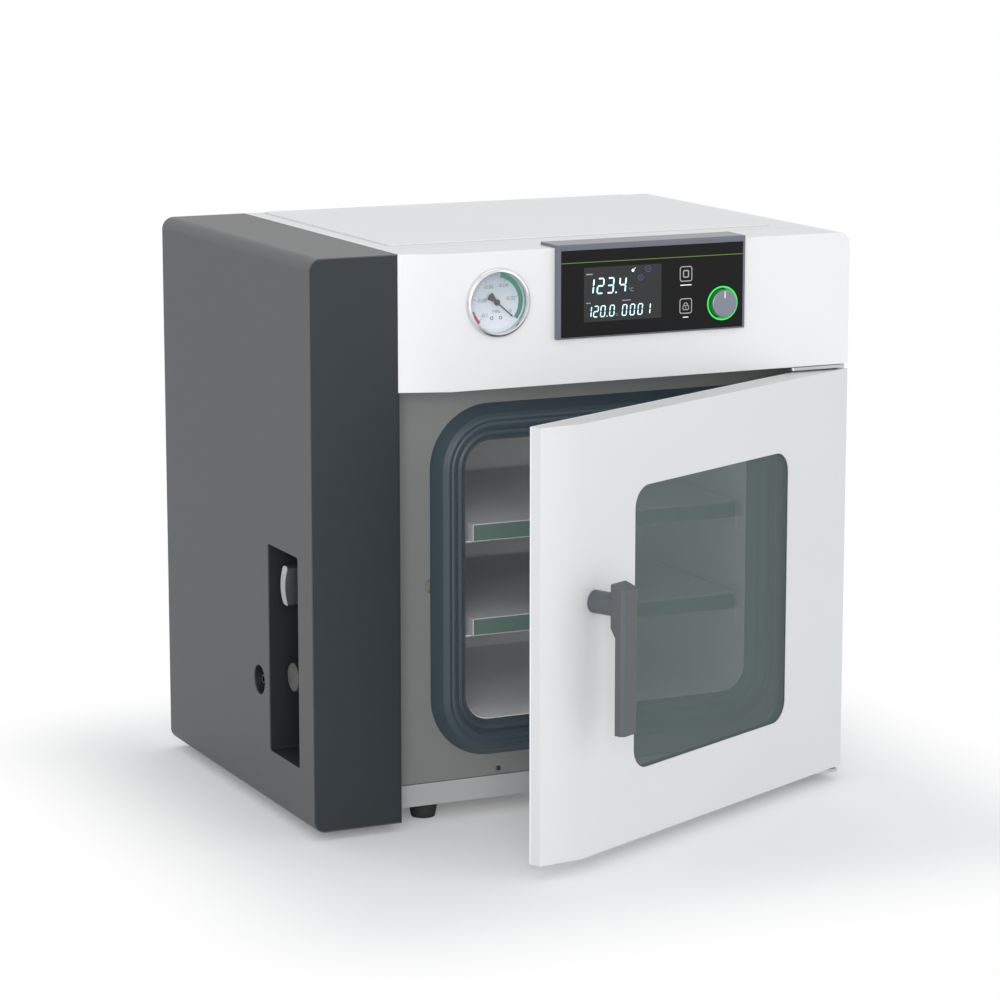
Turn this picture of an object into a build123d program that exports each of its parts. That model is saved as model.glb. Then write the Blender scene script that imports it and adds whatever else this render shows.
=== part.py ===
from build123d import *
import os
from math import cos, radians, sin, sqrt

# Bench-top vacuum oven with a side column, built as separate pieces in millimetres.
# +X is to the right, +Y to the back and +Z up. The origin is on the table, at the centre of
# the four feet, which is also the centre of the oven body's plan. The door and what is on it
# are modelled on the closed door, and swing out about the hinge pins when they are written.

os.makedirs("parts", exist_ok=True)

# ---------------------------------------------------------------- cabinet sizes
column_width = 92.0  # dark column on the oven body's left
left_space = 35.5  # between the insulation and the oven body's sides and rear
right_space = 44.5
rear_space = 43.0
column_drop = 6.3  # the column hangs this far below the base pan
corner_radius = 12.5  # outer bends of the covers
sheet = 1.2  # covers and panels
frame_sheet = 1.5  # front frame, sill and base pan
lip = 15.0  # folded stiffening flanges
seam = 0.8  # open line between neighbouring panels
fascia_height = 134.0
fascia_reach = 17.0  # the fascia stands this far in front of the column
facet_width = 48.0  # slanted face between the column and the flat fascia
fascia_return = 43.0  # the fascia's roof runs this far behind the column's front
frame_recess = 28.0  # the front frame lies this far behind the column's front
frame_above_chamber = 58.0
sill_height = 22.5
pan_lip = 18.0
lid_left_margin = 19.0
lid_right_margin = 45.5
lid_front_margin = 67.0
lid_rear_margin = 7.5
lid_thickness = 1.6
lid_corner = 3.0
lid_overlap = 12.0  # the lid rests on this much of the roof round its opening

# ---------------------------------------------------------------- clearances
moving_gap = 0.3  # between faces that move past each other
running_gap = 0.05  # radial, a shaft in its bearing
fit_gap = 0.05  # radial, a fixed tube in its socket

# ---------------------------------------------------------------- chamber and shelves
chamber_width = 316.0
chamber_height = 281.5
chamber_depth = 290.0
chamber_wall = 4.0
chamber_corner = 27.0
chamber_floor_height = 82.5  # above the base pan's underside
mouth_flange_width = 18.0
mouth_flange = 4.0
post_size = 25.0
post_wall = 2.0
post_side_inset = 30.0
post_front_inset = 55.0
post_rear_inset = 50.0
heater_thickness = 3.0
heater_margin = 30.0
bottom_heater_inset = 60.0
insulation_thickness = 40.0
insulation_front_gap = 8.0
seal_rim_side = 0.8  # steel rim that shows inside the door seal
seal_rim_level = 0.8
seal_width = 36.4
seal_air_gap = 0.7  # between the seal's crest and the closed door's pane
shelf_side_gap = 10.0
shelf_front_inset = 2.0
shelf_rear_gap = 16.0
shelf_height = 17.5
shelf_plate = 1.5
upper_shelf_level = 197.5  # top of the shelf above the chamber floor
lower_shelf_level = 102.0
rail_ledge = 30.0
rail_web = 15.0
rail_sheet = 1.5
rail_front_inset = 5.0
rail_rear_inset = 8.0
rail_nose_radius = 12.0
probe_radius = 2.5
probe_reach = 30.0
probe_offset_x = 65.0
probe_drop = 32.0
probe_nut_radius = 8.0
probe_nut_length = 14.0

# ---------------------------------------------------------------- side column fittings
slot_front_margin = 35.3  # slot's front edge behind the column's front
slot_width = 79.0
slot_height = 210.5
slot_bottom_height = 57.3  # above the column's underside
slot_corner = 3.0
recess_depth = 45.0
recess_flange = 8.0
valve_setback = 77.0  # both valve axes behind the column's front
vacuum_valve_height = 231.9  # above the column's underside
release_valve_height = 139.0
valve_body_depth = 36.0
vacuum_valve_size = 36.0
release_valve_size = 30.0
bonnet_radius = 10.0
bonnet_length = 10.0
valve_stem_radius = 4.0
valve_stem_insertion = 14.0
paddle_length = 39.0
paddle_thickness = 12.0
paddle_depth = 14.0
paddle_bow = 3.0
paddle_setback = 1.0
release_knob_radius = 14.6
release_knob_length = 20.0
release_knob_setback = 10.5
knurl_radius = 0.8
knurl_count = 36
hose_setback = 140.7
hose_height = 124.0
hose_hole_radius = 15.0
hose_well_depth = 33.0
hose_well_wall = 2.0
nozzle_radius = 4.5
nozzle_crest_radius = 5.6
nozzle_bore_radius = 3.0
nozzle_length = 28.0
nozzle_barbs = 3
nozzle_flange_radius = 10.0
nozzle_flange = 4.0
nozzle_tail = 5.0
pipe_radius = 5.0
pipe_wall = 1.0
pipe_bend = 15.0
pipe_partition_gap = 17.0  # pipe axis left of the partition
tee_size = 22.0
port_setback = 194.5  # pump port behind the front frame
port_length = 12.0
port_wall = 5.0
pump_pipe_rise = 39.0
grommet_gap = 2.0

# ---------------------------------------------------------------- vacuum gauge
gauge_from_left = 97.5
gauge_drop = 49.8  # gauge centre below the roof
gauge_bezel_radius = 34.0
gauge_bezel_proud = 5.5
gauge_view_radius = 29.0
gauge_case_radius = 31.0
gauge_case_wall = 1.2
gauge_case_depth = 28.0
gauge_lens_thickness = 1.5
gauge_dial_thickness = 0.8
gauge_dial_drop = 4.5  # dial face behind the lens
gauge_movement_radius = 16.0
needle_length = 22.0
needle_tail = 10.0
needle_tail_width = 8.0
needle_thickness = 0.8
needle_width = 1.2
needle_hub_radius = 3.0
needle_arbor_radius = 1.0
needle_lift = 2.0  # needle in front of the dial
needle_rest_angle = -41.0  # from the 3 o'clock direction, counter-clockwise
gauge_stud_radius = 7.0
gauge_stud_length = 8.0
gauge_port_offset_x = -115.0
gauge_port_setback = 114.5
gauge_pipe_bend = 12.0

# ---------------------------------------------------------------- control panel
panel_from_right = 123.0
panel_width = 208.5
panel_height = 92.5
panel_proud = 6.5
panel_roof = 3.0  # the panel's hook stands this far above the roof
panel_hook = 31.0
panel_edge_radius = 2.5
glass_margin_left = 4.3
glass_margin_right = 3.5
glass_margin_bottom = 2.0
glass_margin_top = 6.0
glass_fit = 0.2
glass_thickness = 2.0
glass_recess = 0.3
skirt_inset = 5.5
skirt_wall = 1.5
skirt_depth = 7.0
board_thickness = 1.6
display_width = 85.0
display_height = 53.5
display_left = 29.0  # from the panel's left edge
display_bottom = 15.8
dial_from_right = 26.0
dial_height = 26.2
dial_knob_radius = 13.8
dial_knob_length = 8.0
dial_knob_proud = 5.0
dial_knob_edge = 1.2
dial_shaft_radius = 3.0
dial_press_travel = 1.0
light_ring_radius = 17.1
light_ring_width = 1.5
encoder_size = 14.0
encoder_depth = 6.0

# ---------------------------------------------------------------- rear electrics and vents
inlet_from_right = 85.0
inlet_centre_height = 80.0
inlet_width = 34.0
inlet_height = 62.0
inlet_flange = 2.5
inlet_rim = 4.0
inlet_body_depth = 26.0
socket_width = 24.5
socket_height = 17.0
socket_depth = 17.0
socket_drop = 13.0
socket_corner = 2.5
pin_spacing = 7.0
pin_rise = 4.0
pin_length = 13.0
pin_thickness = 2.0
pin_width = 4.0
rocker_width = 20.0
rocker_height = 13.0
rocker_depth = 9.0
rocker_proud = 1.6
rocker_gap = 0.6  # above and below the rocker, for its tilt
rocker_lift = 17.0
rocker_pivot_radius = 1.5
rocker_pivot_reach = 1.5
supply_width = 110.0
supply_depth = 75.0
supply_height = 45.0
supply_right_gap = 40.0
supply_rear_gap = 75.0
vent_slot_length = 60.0
vent_slot_width = 4.0
vent_pitch = 12.0
vent_rows = 9
vent_columns = 3
vent_drop = 111.0  # centre of the vents below the roof
vent_column_pitch = 80.0

# ---------------------------------------------------------------- feet
foot_height = 15.0
foot_top_radius = 15.0
foot_bottom_radius = 12.0
foot_inset_x = 44.0  # foot axis from the oven body's side
foot_inset_y = 45.0
foot_recess_radius = 6.0  # open mouth below the screw's head
foot_recess_depth = 8.0
foot_seat_radius = 4.8  # round the screw's head
foot_screw_radius = 2.5
foot_screw_head_radius = 4.5
foot_screw_head = 3.0

# ---------------------------------------------------------------- door and hinges
door_rest_angle = 25.9  # the door stands open by this much
door_top_gap = 6.0
door_drop = 1.0  # the door's lower edge below the base pan
door_left_gap = 5.0
door_right_gap = 0.5
door_thickness = 28.0
hinge_inset_x = 12.0
hinge_inset_y = 13.0
hinge_swing_gap = 1.2  # between the swinging door and the body's side wall
hinge_pin_radius = 3.0
hinge_bush_wall = 2.0
hinge_bush_length = 16.0
hinge_bush_flange_radius = 7.0
hinge_bush_flange = 1.5
hinge_plate = 3.2
hinge_plate_width = 62.0
hinge_plate_front = 11.0  # in front of the pin axis
hinge_leaf_width = 47.0
hinge_leaf_height = 27.0
hinge_pin_engagement = 20.0
hinge_block_size = 20.0
window_left_margin = 125.5
window_right_margin = 103.5
window_top_margin = 71.5
window_bottom_margin = 69.0
window_corner = 21.0
window_pane = 4.0
window_pane_overlap = 10.0
window_frame_width = 9.0
window_frame_depth = 6.0
sleeve_overlap = 4.0
inner_pane_side_overlap = 24.0  # beyond the chamber's cavity
inner_pane_level_overlap = 22.0
inner_pane_thickness = 12.0
inner_pane_corner = 45.0
inner_pane_step = 4.0
inner_pane_nose = 2.8
pane_proud = 0.3
clip_sheet = 1.5
clip_width = 14.0
clip_foot = 11.0
clip_tongue = 5.0

# ---------------------------------------------------------------- handle and latch
stem_radius = 11.0
stem_from_left = 61.5  # stem axis from the door's left edge
stem_height = 246.5  # above the door's lower edge
stem_length = 28.0
stem_shaft_radius = 7.0
bush_wall = 3.0
bush_length = 8.0
bush_flange_radius = 13.0
bush_flange = 2.0
circlip_radius = 9.5
circlip_thickness = 1.0
groove_depth = 1.0
handle_width = 24.0
handle_thickness = 16.0
handle_lower_thickness = 10.5
handle_chamfer = 3.5
handle_rise_back = 22.2  # top of the handle above the stem axis, at its back
handle_rise_front = 16.5
handle_drop = 122.5
handle_taper_start = 19.8
handle_taper_end = 29.1
latch_lift = 6.0
crank_pin_radius = 2.5
crank_pin_play = 0.2
hook_plate = 2.5
hook_left = 25.5  # plate edges from the stem axis
hook_right = 12.5
hook_below = 32.5
hook_above = 25.5
hook_gap_from_pane = 1.8
finger_width = 2.5
finger_height = 2.8
finger_seal_gap = 0.6  # between the finger and the door seal's outer edge
finger_drop = 27.0  # underside of the released finger below the stem axis
barb_height = 4.5
barb_length = 4.0
keeper_sheet = 2.0
keeper_width = 21.0
keeper_height = 40.0
keeper_slot_width = 10.0
latch_hole_radius = 7.8
latch_hole_offset = 4.0  # hole's centre right of the finger's
guide_pin_radius = 2.0
guide_head_radius = 3.5
guide_head = 1.0
guide_offset_x = 14.5
guide_rise = 16.5
guide_drop = 8.5
guide_play = 0.2
finger_slot_width = 8.0

# ---------------------------------------------------------------- screws
screw_radius = 2.0
screw_head_radius = 3.5
screw_head = 2.0
screw_length = 8.0
frame_screw_head_radius = 2.4
frame_screw_inset = 36.7  # inside the chamber's sides
frame_screw_rise = 6.8  # above the sill
hinge_screw_spread = 24.0
rear_screw_edge = 8.0

# ---------------------------------------------------------------- derived places
insulation_wrap = chamber_wall + heater_thickness + insulation_thickness
body_width = left_space + right_space + chamber_width + 2 * insulation_wrap
body_height = chamber_floor_height + chamber_height + frame_above_chamber + fascia_height
insulated_depth = frame_recess + chamber_depth + chamber_wall + insulation_thickness
cabinet_depth = insulated_depth + rear_space
body_left = -body_width / 2
body_right = body_width / 2
column_left = body_left - column_width
front_y = -cabinet_depth / 2
rear_y = cabinet_depth / 2
pan_z = foot_height
roof_z = pan_z + body_height
column_z = pan_z - column_drop
fascia_front = front_y - fascia_reach
fascia_back = front_y + fascia_return
fascia_bottom = roof_z - fascia_height
frame_front = front_y + frame_recess
frame_back = frame_front + frame_sheet
sill_top = pan_z + sill_height
inner_left = body_left + sheet
inner_right = body_right - sheet
inner_rear = rear_y - sheet

chamber_shift = (left_space - right_space) / 2
chamber_z = pan_z + chamber_floor_height
chamber_top = chamber_z + chamber_height
chamber_left = chamber_shift - chamber_width / 2
chamber_right = chamber_shift + chamber_width / 2
chamber_back = frame_front + chamber_depth
chamber_mid_z = chamber_z + chamber_height / 2
outer_left = chamber_left - chamber_wall
outer_right = chamber_right + chamber_wall
outer_floor = chamber_z - chamber_wall
outer_top = chamber_top + chamber_wall
outer_back = chamber_back + chamber_wall

door_top = fascia_bottom - door_top_gap
door_z = pan_z - door_drop
door_height = door_top - door_z
door_left = body_left + door_left_gap
door_right = body_right - door_right_gap
door_front = fascia_front
door_back = door_front + door_thickness
door_wall = door_front + sheet
liner_inside = door_back - frame_sheet
hinge_x = door_right - hinge_inset_x
hinge_y = door_front + hinge_inset_y
hinge_line = Axis((hinge_x, hinge_y, 0), (0, 0, 1))

FRONT = (0, -1, 0)
BACK = (0, 1, 0)
LEFT = (-1, 0, 0)
RIGHT = (1, 0, 0)
UP = (0, 0, 1)
DOWN = (0, 0, -1)
CORNER = (Align.MIN, Align.MIN, Align.MIN)
SEATED = (Align.CENTER, Align.CENTER, Align.MIN)


# ---------------------------------------------------------------- helpers
def save(piece, name):
    """Label a finished piece and write it as its own STEP file."""
    piece.part.label = name
    export_step(piece.part, f"parts/{name}.step")


def save_on_door(piece, name):
    """Swing a piece of the closed door out to where the door stands, then write it."""
    swung = piece.part.rotate(hinge_line, door_rest_angle)
    swung.label = name
    export_step(swung, f"parts/{name}.step")


def block(low, high, mode=Mode.ADD):
    """Box between two opposite corners."""
    with Locations(low):
        Box(high[0] - low[0], high[1] - low[1], high[2] - low[2], align=CORNER, mode=mode)


def rod(start, direction, radius, length, mode=Mode.ADD):
    """Cylinder from a start point along a direction."""
    with Locations(Plane(origin=start, z_dir=direction)):
        Cylinder(radius, length, align=SEATED, mode=mode)


def facing_front(y):
    """Upright plane at a depth, with X to the right and Z up in its sketches."""
    return Plane(origin=(0, y, 0), x_dir=RIGHT, z_dir=FRONT)


def rounded_window(y, centre_x, centre_z, width, height, radius):
    """Rounded rectangle on an upright plane at a depth."""
    with BuildSketch(facing_front(y)) as window:
        with Locations((centre_x, centre_z)):
            RectangleRounded(width, height, radius)
    return window.sketch


def column_outline(y, inset, right_inset=0.0):
    """Front view of the column, square where it meets the oven body."""
    with BuildSketch(facing_front(y)) as outline:
        with Locations((column_left + inset, column_z + inset)):
            Rectangle(
                column_width - inset - right_inset,
                roof_z - column_z - 2 * inset,
                align=(Align.MIN, Align.MIN),
            )
        fillet(outline.vertices().group_by(Axis.X)[0], corner_radius - inset)
    return outline.sketch


def body_outline(y, inset):
    """Front view of the oven body, from its left side out to the rounded right shoulder."""
    with BuildSketch(facing_front(y)) as outline:
        with Locations((body_left, pan_z)):
            Rectangle(body_width - inset, body_height - inset, align=(Align.MIN, Align.MIN))
        shoulder = outline.vertices().group_by(Axis.Y)[-1].sort_by(Axis.X)[-1]
        fillet(shoulder, corner_radius - inset)
    return outline.sketch


facet_slope = fascia_reach / facet_width
facet_stretch = sqrt(1 + facet_slope**2)


def front_plan(z, left, right, back, inset):
    """Plan of a case with the slanted left face and flat front, inset all round but the back."""
    left_x = left + inset
    left_y = front_y - facet_slope * (left_x - body_left) + inset * facet_stretch
    facet_x = body_left + (fascia_reach + inset * (facet_stretch - 1)) / facet_slope
    with BuildSketch(Plane.XY.offset(z)) as plan:
        with BuildLine():
            Polyline(
                (left_x, back),
                (left_x, left_y),
                (facet_x, fascia_front + inset),
                (right - inset, fascia_front + inset),
                (right - inset, back),
                close=True,
            )
        make_face()
    return plan.sketch


# ---------------------------------------------------------------- column
port_y = frame_front + port_setback
slot_y = front_y + slot_front_margin + slot_width / 2
slot_z = column_z + slot_bottom_height + slot_height / 2
hose_y = front_y + hose_setback
hose_z = column_z + hose_height
column_wall_x = column_left + sheet
rear_screw_places = [
    (body_right - foot_inset_x, roof_z - rear_screw_edge),
    (0, roof_z - rear_screw_edge),
    (body_left + foot_inset_x, roof_z - rear_screw_edge),
    (body_right - foot_inset_x, pan_z + pan_lip / 2),
    (body_left + foot_inset_x, pan_z + pan_lip / 2),
    (column_left + rear_screw_edge, column_z + body_height / 5),
    (column_left + rear_screw_edge, roof_z - body_height / 5),
]


def rear_screw_holes():
    """Holes for the rear panel's screws, through the panel and the flanges behind it."""
    for x, z in rear_screw_places:
        rod((x, rear_y, z), FRONT, screw_radius, screw_length, Mode.SUBTRACT)



# Side cover: one bent sheet round the column's roof, side and underside.
with BuildPart() as side_cover:
    extrude(column_outline(front_y, 0), amount=-cabinet_depth)
    extrude(column_outline(front_y, sheet), amount=-cabinet_depth, mode=Mode.SUBTRACT)
    block(
        (column_wall_x, inner_rear - sheet, column_z + corner_radius),
        (column_wall_x + lip, inner_rear, roof_z - corner_radius),
    )
    with BuildSketch(Plane.YZ.offset(column_left)):
        with Locations((slot_y, slot_z)):
            RectangleRounded(slot_width, slot_height, slot_corner)
        with Locations((hose_y, hose_z)):
            Circle(hose_hole_radius)
    extrude(amount=sheet, mode=Mode.SUBTRACT)
    rear_screw_holes()
save(side_cover, "side_cover")

# Column front: a shallow pan pushed into the cover's front edge.
with BuildPart() as column_front:
    extrude(column_outline(front_y, sheet), amount=-lip)
    extrude(column_outline(front_y + sheet, 2 * sheet, sheet), amount=-lip, mode=Mode.SUBTRACT)
save(column_front, "column_front")

port_z = column_z + (vacuum_valve_height + release_valve_height) / 2

# Partition: the wall between column and oven body, cut back round the fascia.
with BuildPart() as column_partition:
    block((body_left, front_y, column_z), (inner_left, inner_rear, roof_z - sheet))
    block(
        (body_left, front_y, fascia_bottom),
        (inner_left, fascia_back + seam, roof_z),
        Mode.SUBTRACT,
    )
    block(
        (body_left - lip, inner_rear - sheet, column_z + 2 * sheet),
        (body_left, inner_rear, roof_z - 2 * sheet),
    )
    rod((body_left, port_y, port_z), RIGHT, pipe_radius + grommet_gap, sheet, Mode.SUBTRACT)
save(column_partition, "column_partition")

# Column liner: one moulding with the valve recess behind the slot and the hose well.
recess_back = column_wall_x + recess_depth
valve_y = front_y + valve_setback
vacuum_valve_z = column_z + vacuum_valve_height
release_valve_z = column_z + release_valve_height
well_radius = hose_hole_radius + hose_well_wall
well_end = column_wall_x + hose_well_depth
well_floor = well_end - hose_well_wall
flange_end_y = slot_y + slot_width / 2 + recess_flange

with BuildPart() as column_liner:
    with BuildSketch(Plane.YZ.offset(column_wall_x)):
        with Locations((slot_y, slot_z)):
            RectangleRounded(
                slot_width + 2 * recess_flange, slot_height + 2 * recess_flange, slot_corner
            )
        with Locations((hose_y, hose_z)):
            Circle(well_radius)
            Rectangle(
                hose_y - flange_end_y + slot_corner,
                2 * well_radius,
                align=(Align.MAX, Align.CENTER),
            )
    extrude(amount=sheet)
    with BuildSketch(Plane.YZ.offset(column_wall_x)):
        with Locations((slot_y, slot_z)):
            RectangleRounded(slot_width + 2 * sheet, slot_height + 2 * sheet, slot_corner)
    extrude(amount=recess_depth)
    with BuildSketch(Plane.YZ.offset(column_wall_x)):
        with Locations((slot_y, slot_z)):
            RectangleRounded(slot_width, slot_height, slot_corner)
    extrude(amount=recess_depth - sheet, mode=Mode.SUBTRACT)
    for valve_z in (vacuum_valve_z, release_valve_z):
        rod((recess_back, valve_y, valve_z), LEFT, bonnet_radius, sheet, Mode.SUBTRACT)
    rod((column_wall_x, hose_y, hose_z), RIGHT, well_radius, hose_well_depth)
    well_hollow = hose_well_depth - hose_well_wall
    rod((well_floor, hose_y, hose_z), LEFT, hose_hole_radius, well_hollow, Mode.SUBTRACT)
    socket = pipe_radius + fit_gap
    rod((well_end, hose_y, hose_z), LEFT, socket, hose_well_wall, Mode.SUBTRACT)
save(column_liner, "column_liner")


def valve_body(builder_size, valve_z):
    """Brass valve block behind the recess, with a bonnet through it and a stem bore."""
    half = builder_size / 2
    block(
        (recess_back, valve_y - half, valve_z - half),
        (recess_back + valve_body_depth, valve_y + half, valve_z + half),
    )
    rod((recess_back, valve_y, valve_z), LEFT, bonnet_radius, bonnet_length)
    bore_length = bonnet_length + valve_stem_insertion + moving_gap
    bore_radius = valve_stem_radius + running_gap
    start = (recess_back - bonnet_length, valve_y, valve_z)
    rod(start, RIGHT, bore_radius, bore_length, Mode.SUBTRACT)


with BuildPart() as vacuum_valve_body:
    valve_body(vacuum_valve_size, vacuum_valve_z)
save(vacuum_valve_body, "vacuum_valve_body")

with BuildPart() as release_valve_body:
    valve_body(release_valve_size, release_valve_z)
save(release_valve_body, "release_valve_body")

# Vacuum valve handle: a paddle with a bowed face, on the stem that turns the valve.
paddle_face = column_left + paddle_setback
paddle_back = paddle_face + paddle_depth
stem_end = recess_back + valve_stem_insertion

with BuildPart() as vacuum_valve_handle:
    with BuildSketch(facing_front(valve_y - paddle_thickness / 2)):
        with BuildLine():
            ThreePointArc(
                (paddle_face + paddle_bow, vacuum_valve_z - paddle_length / 2),
                (paddle_face, vacuum_valve_z),
                (paddle_face + paddle_bow, vacuum_valve_z + paddle_length / 2),
            )
            Polyline(
                (paddle_face + paddle_bow, vacuum_valve_z + paddle_length / 2),
                (paddle_back, vacuum_valve_z + paddle_length / 2),
                (paddle_back, vacuum_valve_z - paddle_length / 2),
                (paddle_face + paddle_bow, vacuum_valve_z - paddle_length / 2),
            )
        make_face()
    extrude(amount=-paddle_thickness)
    fillet(vacuum_valve_handle.edges().filter_by(Axis.X), paddle_bow)
    rod(
        (paddle_back, valve_y, vacuum_valve_z), RIGHT, valve_stem_radius, stem_end - paddle_back
    )
save(vacuum_valve_handle, "vacuum_valve_handle")

# Release valve knob: knurled, on a straight spindle.
knob_face = column_left + release_knob_setback
knob_back = knob_face + release_knob_length

with BuildPart() as release_valve_knob:
    rod((knob_face, valve_y, release_valve_z), RIGHT, release_knob_radius, release_knob_length)
    chamfer(release_valve_knob.edges().filter_by(GeomType.CIRCLE), 1.0)
    with BuildSketch(Plane.YZ.offset(knob_face)):
        with Locations((valve_y, release_valve_z)):
            with PolarLocations(release_knob_radius, knurl_count):
                Circle(knurl_radius)
    extrude(amount=release_knob_length, mode=Mode.SUBTRACT)
    rod(
        (knob_back, valve_y, release_valve_z), RIGHT, valve_stem_radius, stem_end - knob_back
    )
save(release_valve_knob, "release_valve_knob")

# Hose nozzle: barbed outlet for the pump hose, seated on the well's floor.
barb_pitch = (nozzle_length - nozzle_flange) / nozzle_barbs

with BuildPart() as hose_nozzle:
    rod((well_floor, hose_y, hose_z), LEFT, nozzle_flange_radius, nozzle_flange)
    for barb in range(nozzle_barbs):
        barb_x = well_floor - nozzle_flange - barb * barb_pitch
        with Locations(Plane(origin=(barb_x, hose_y, hose_z), z_dir=LEFT)):
            Cone(nozzle_crest_radius, nozzle_radius, barb_pitch, align=SEATED)
    rod((well_floor, hose_y, hose_z), RIGHT, pipe_radius, hose_well_wall + nozzle_tail)
    rod(
        (well_floor - nozzle_length, hose_y, hose_z),
        RIGHT,
        nozzle_bore_radius,
        nozzle_length + hose_well_wall + nozzle_tail,
        Mode.SUBTRACT,
    )
save(hose_nozzle, "hose_nozzle")

# Vacuum pipes: chamber to the valves, valve to the hose nozzle, and chamber to the gauge.
pipe_x = body_left - pipe_partition_gap
tee_half = tee_size / 2
pump_top = vacuum_valve_z + vacuum_valve_size / 2 + pump_pipe_rise
nozzle_end = well_end + nozzle_tail
gauge_z = roof_z - gauge_drop
gauge_centre_x = body_left + gauge_from_left
gauge_port_x = chamber_shift + gauge_port_offset_x
gauge_port_y = frame_front + gauge_port_setback
gauge_back = fascia_front + gauge_case_depth
gauge_stud_end = gauge_back + gauge_stud_length

with BuildPart() as vacuum_pipes:
    with BuildLine() as chamber_route:
        FilletPolyline(
            (outer_left, port_y, port_z),
            (pipe_x, port_y, port_z),
            (pipe_x, valve_y + tee_half, port_z),
            radius=pipe_bend,
        )
    with BuildSketch(Plane(origin=(outer_left, port_y, port_z), z_dir=LEFT)):
        Circle(pipe_radius)
        Circle(pipe_radius - pipe_wall, mode=Mode.SUBTRACT)
    sweep(path=chamber_route.wire())
    block(
        (pipe_x - tee_half, valve_y - tee_half, port_z - tee_half),
        (pipe_x + tee_half, valve_y + tee_half, port_z + tee_half),
    )
    rod(
        (pipe_x, valve_y, port_z),
        UP,
        pipe_radius,
        vacuum_valve_z - vacuum_valve_size / 2 - port_z,
    )
    rod(
        (pipe_x, valve_y, port_z),
        DOWN,
        pipe_radius,
        port_z - release_valve_z - release_valve_size / 2,
    )
    with BuildLine() as pump_route:
        FilletPolyline(
            (pipe_x, valve_y, vacuum_valve_z + vacuum_valve_size / 2),
            (pipe_x, valve_y, pump_top),
            (pipe_x, hose_y, pump_top),
            (pipe_x, hose_y, hose_z),
            (nozzle_end, hose_y, hose_z),
            radius=pipe_bend,
        )
    with BuildSketch(
        Plane(origin=(pipe_x, valve_y, vacuum_valve_z + vacuum_valve_size / 2), z_dir=UP)
    ):
        Circle(pipe_radius)
        Circle(pipe_radius - pipe_wall, mode=Mode.SUBTRACT)
    sweep(path=pump_route.wire())
    with BuildLine() as gauge_route:
        FilletPolyline(
            (gauge_port_x, gauge_port_y, outer_top),
            (gauge_port_x, gauge_port_y, gauge_z),
            (gauge_centre_x, gauge_port_y, gauge_z),
            (gauge_centre_x, gauge_stud_end, gauge_z),
            radius=gauge_pipe_bend,
        )
    with BuildSketch(Plane(origin=(gauge_port_x, gauge_port_y, outer_top), z_dir=UP)):
        Circle(pipe_radius)
        Circle(pipe_radius - pipe_wall, mode=Mode.SUBTRACT)
    sweep(path=gauge_route.wire())
save(vacuum_pipes, "vacuum_pipes")

# ---------------------------------------------------------------- oven body
door_swing_radius = sqrt(hinge_inset_x**2 + (door_thickness - hinge_inset_y) ** 2)
side_wall_front = hinge_y + door_swing_radius + hinge_swing_gap

# Body shell: roof and right wall in one bent sheet, with flanges to the partition and rear.
with BuildPart() as body_shell:
    extrude(body_outline(side_wall_front, 0), amount=side_wall_front - rear_y)
    extrude(
        body_outline(side_wall_front, sheet), amount=side_wall_front - rear_y, mode=Mode.SUBTRACT
    )
    block(
        (body_left, side_wall_front, fascia_bottom),
        (body_right, fascia_back + seam, roof_z),
        Mode.SUBTRACT,
    )
    block(
        (inner_left, fascia_back + seam, roof_z - sheet - lip),
        (inner_left + sheet, inner_rear - sheet, roof_z - sheet),
    )
    block(
        (inner_left, inner_rear - sheet, roof_z - sheet - lip),
        (body_right - corner_radius, inner_rear, roof_z - sheet),
    )
    block(
        (
            body_left + lid_left_margin + lid_overlap,
            front_y + lid_front_margin + lid_overlap,
            roof_z - sheet,
        ),
        (
            body_right - lid_right_margin - lid_overlap,
            rear_y - lid_rear_margin - lid_overlap - lip,
            roof_z,
        ),
        Mode.SUBTRACT,
    )
    rear_screw_holes()
save(body_shell, "body_shell")

# Top plate: service lid lying on the roof.
with BuildPart() as top_plate:
    block(
        (body_left + lid_left_margin, front_y + lid_front_margin, roof_z),
        (body_right - lid_right_margin, rear_y - lid_rear_margin, roof_z + lid_thickness),
    )
    fillet(top_plate.edges().filter_by(Axis.Z), lid_corner)
    chamfer(top_plate.faces().sort_by(Axis.Z)[-1].edges(), lid_thickness / 3)
save(top_plate, "top_plate")


def fascia_body(inset):
    """The fascia's case or its hollow, rounded at the right shoulder and open at the back."""
    with BuildPart() as body:
        plan = front_plan(fascia_bottom + inset, body_left, body_right, fascia_back, inset)
        extrude(plan, amount=fascia_height - 2 * inset)
        upper_edges = body.edges().filter_by(Axis.Y).group_by(Axis.Z)[-1]
        fillet(upper_edges.sort_by(Axis.X)[-1], corner_radius - inset)
    return body.part


panel_right_x = body_right - panel_from_right
panel_left_x = panel_right_x - panel_width
panel_top_z = roof_z + panel_roof
panel_bottom_z = panel_top_z - panel_height
panel_front = fascia_front - panel_proud
skirt_left = panel_left_x + skirt_inset
skirt_right = panel_right_x - skirt_inset
skirt_bottom = panel_bottom_z + skirt_inset
skirt_top = roof_z - skirt_inset

# Front fascia: folded upper front of the cabinet, cut out for the gauge and the panel.
with BuildPart() as front_fascia:
    add(fascia_body(0))
    add(fascia_body(sheet), mode=Mode.SUBTRACT)
    rod(
        (gauge_centre_x, fascia_front, gauge_z),
        BACK,
        gauge_case_radius + fit_gap,
        sheet,
        Mode.SUBTRACT,
    )
    block(
        (skirt_left, fascia_front, skirt_bottom),
        (skirt_right, fascia_front + sheet, skirt_top),
        Mode.SUBTRACT,
    )
save(front_fascia, "front_fascia")

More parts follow.
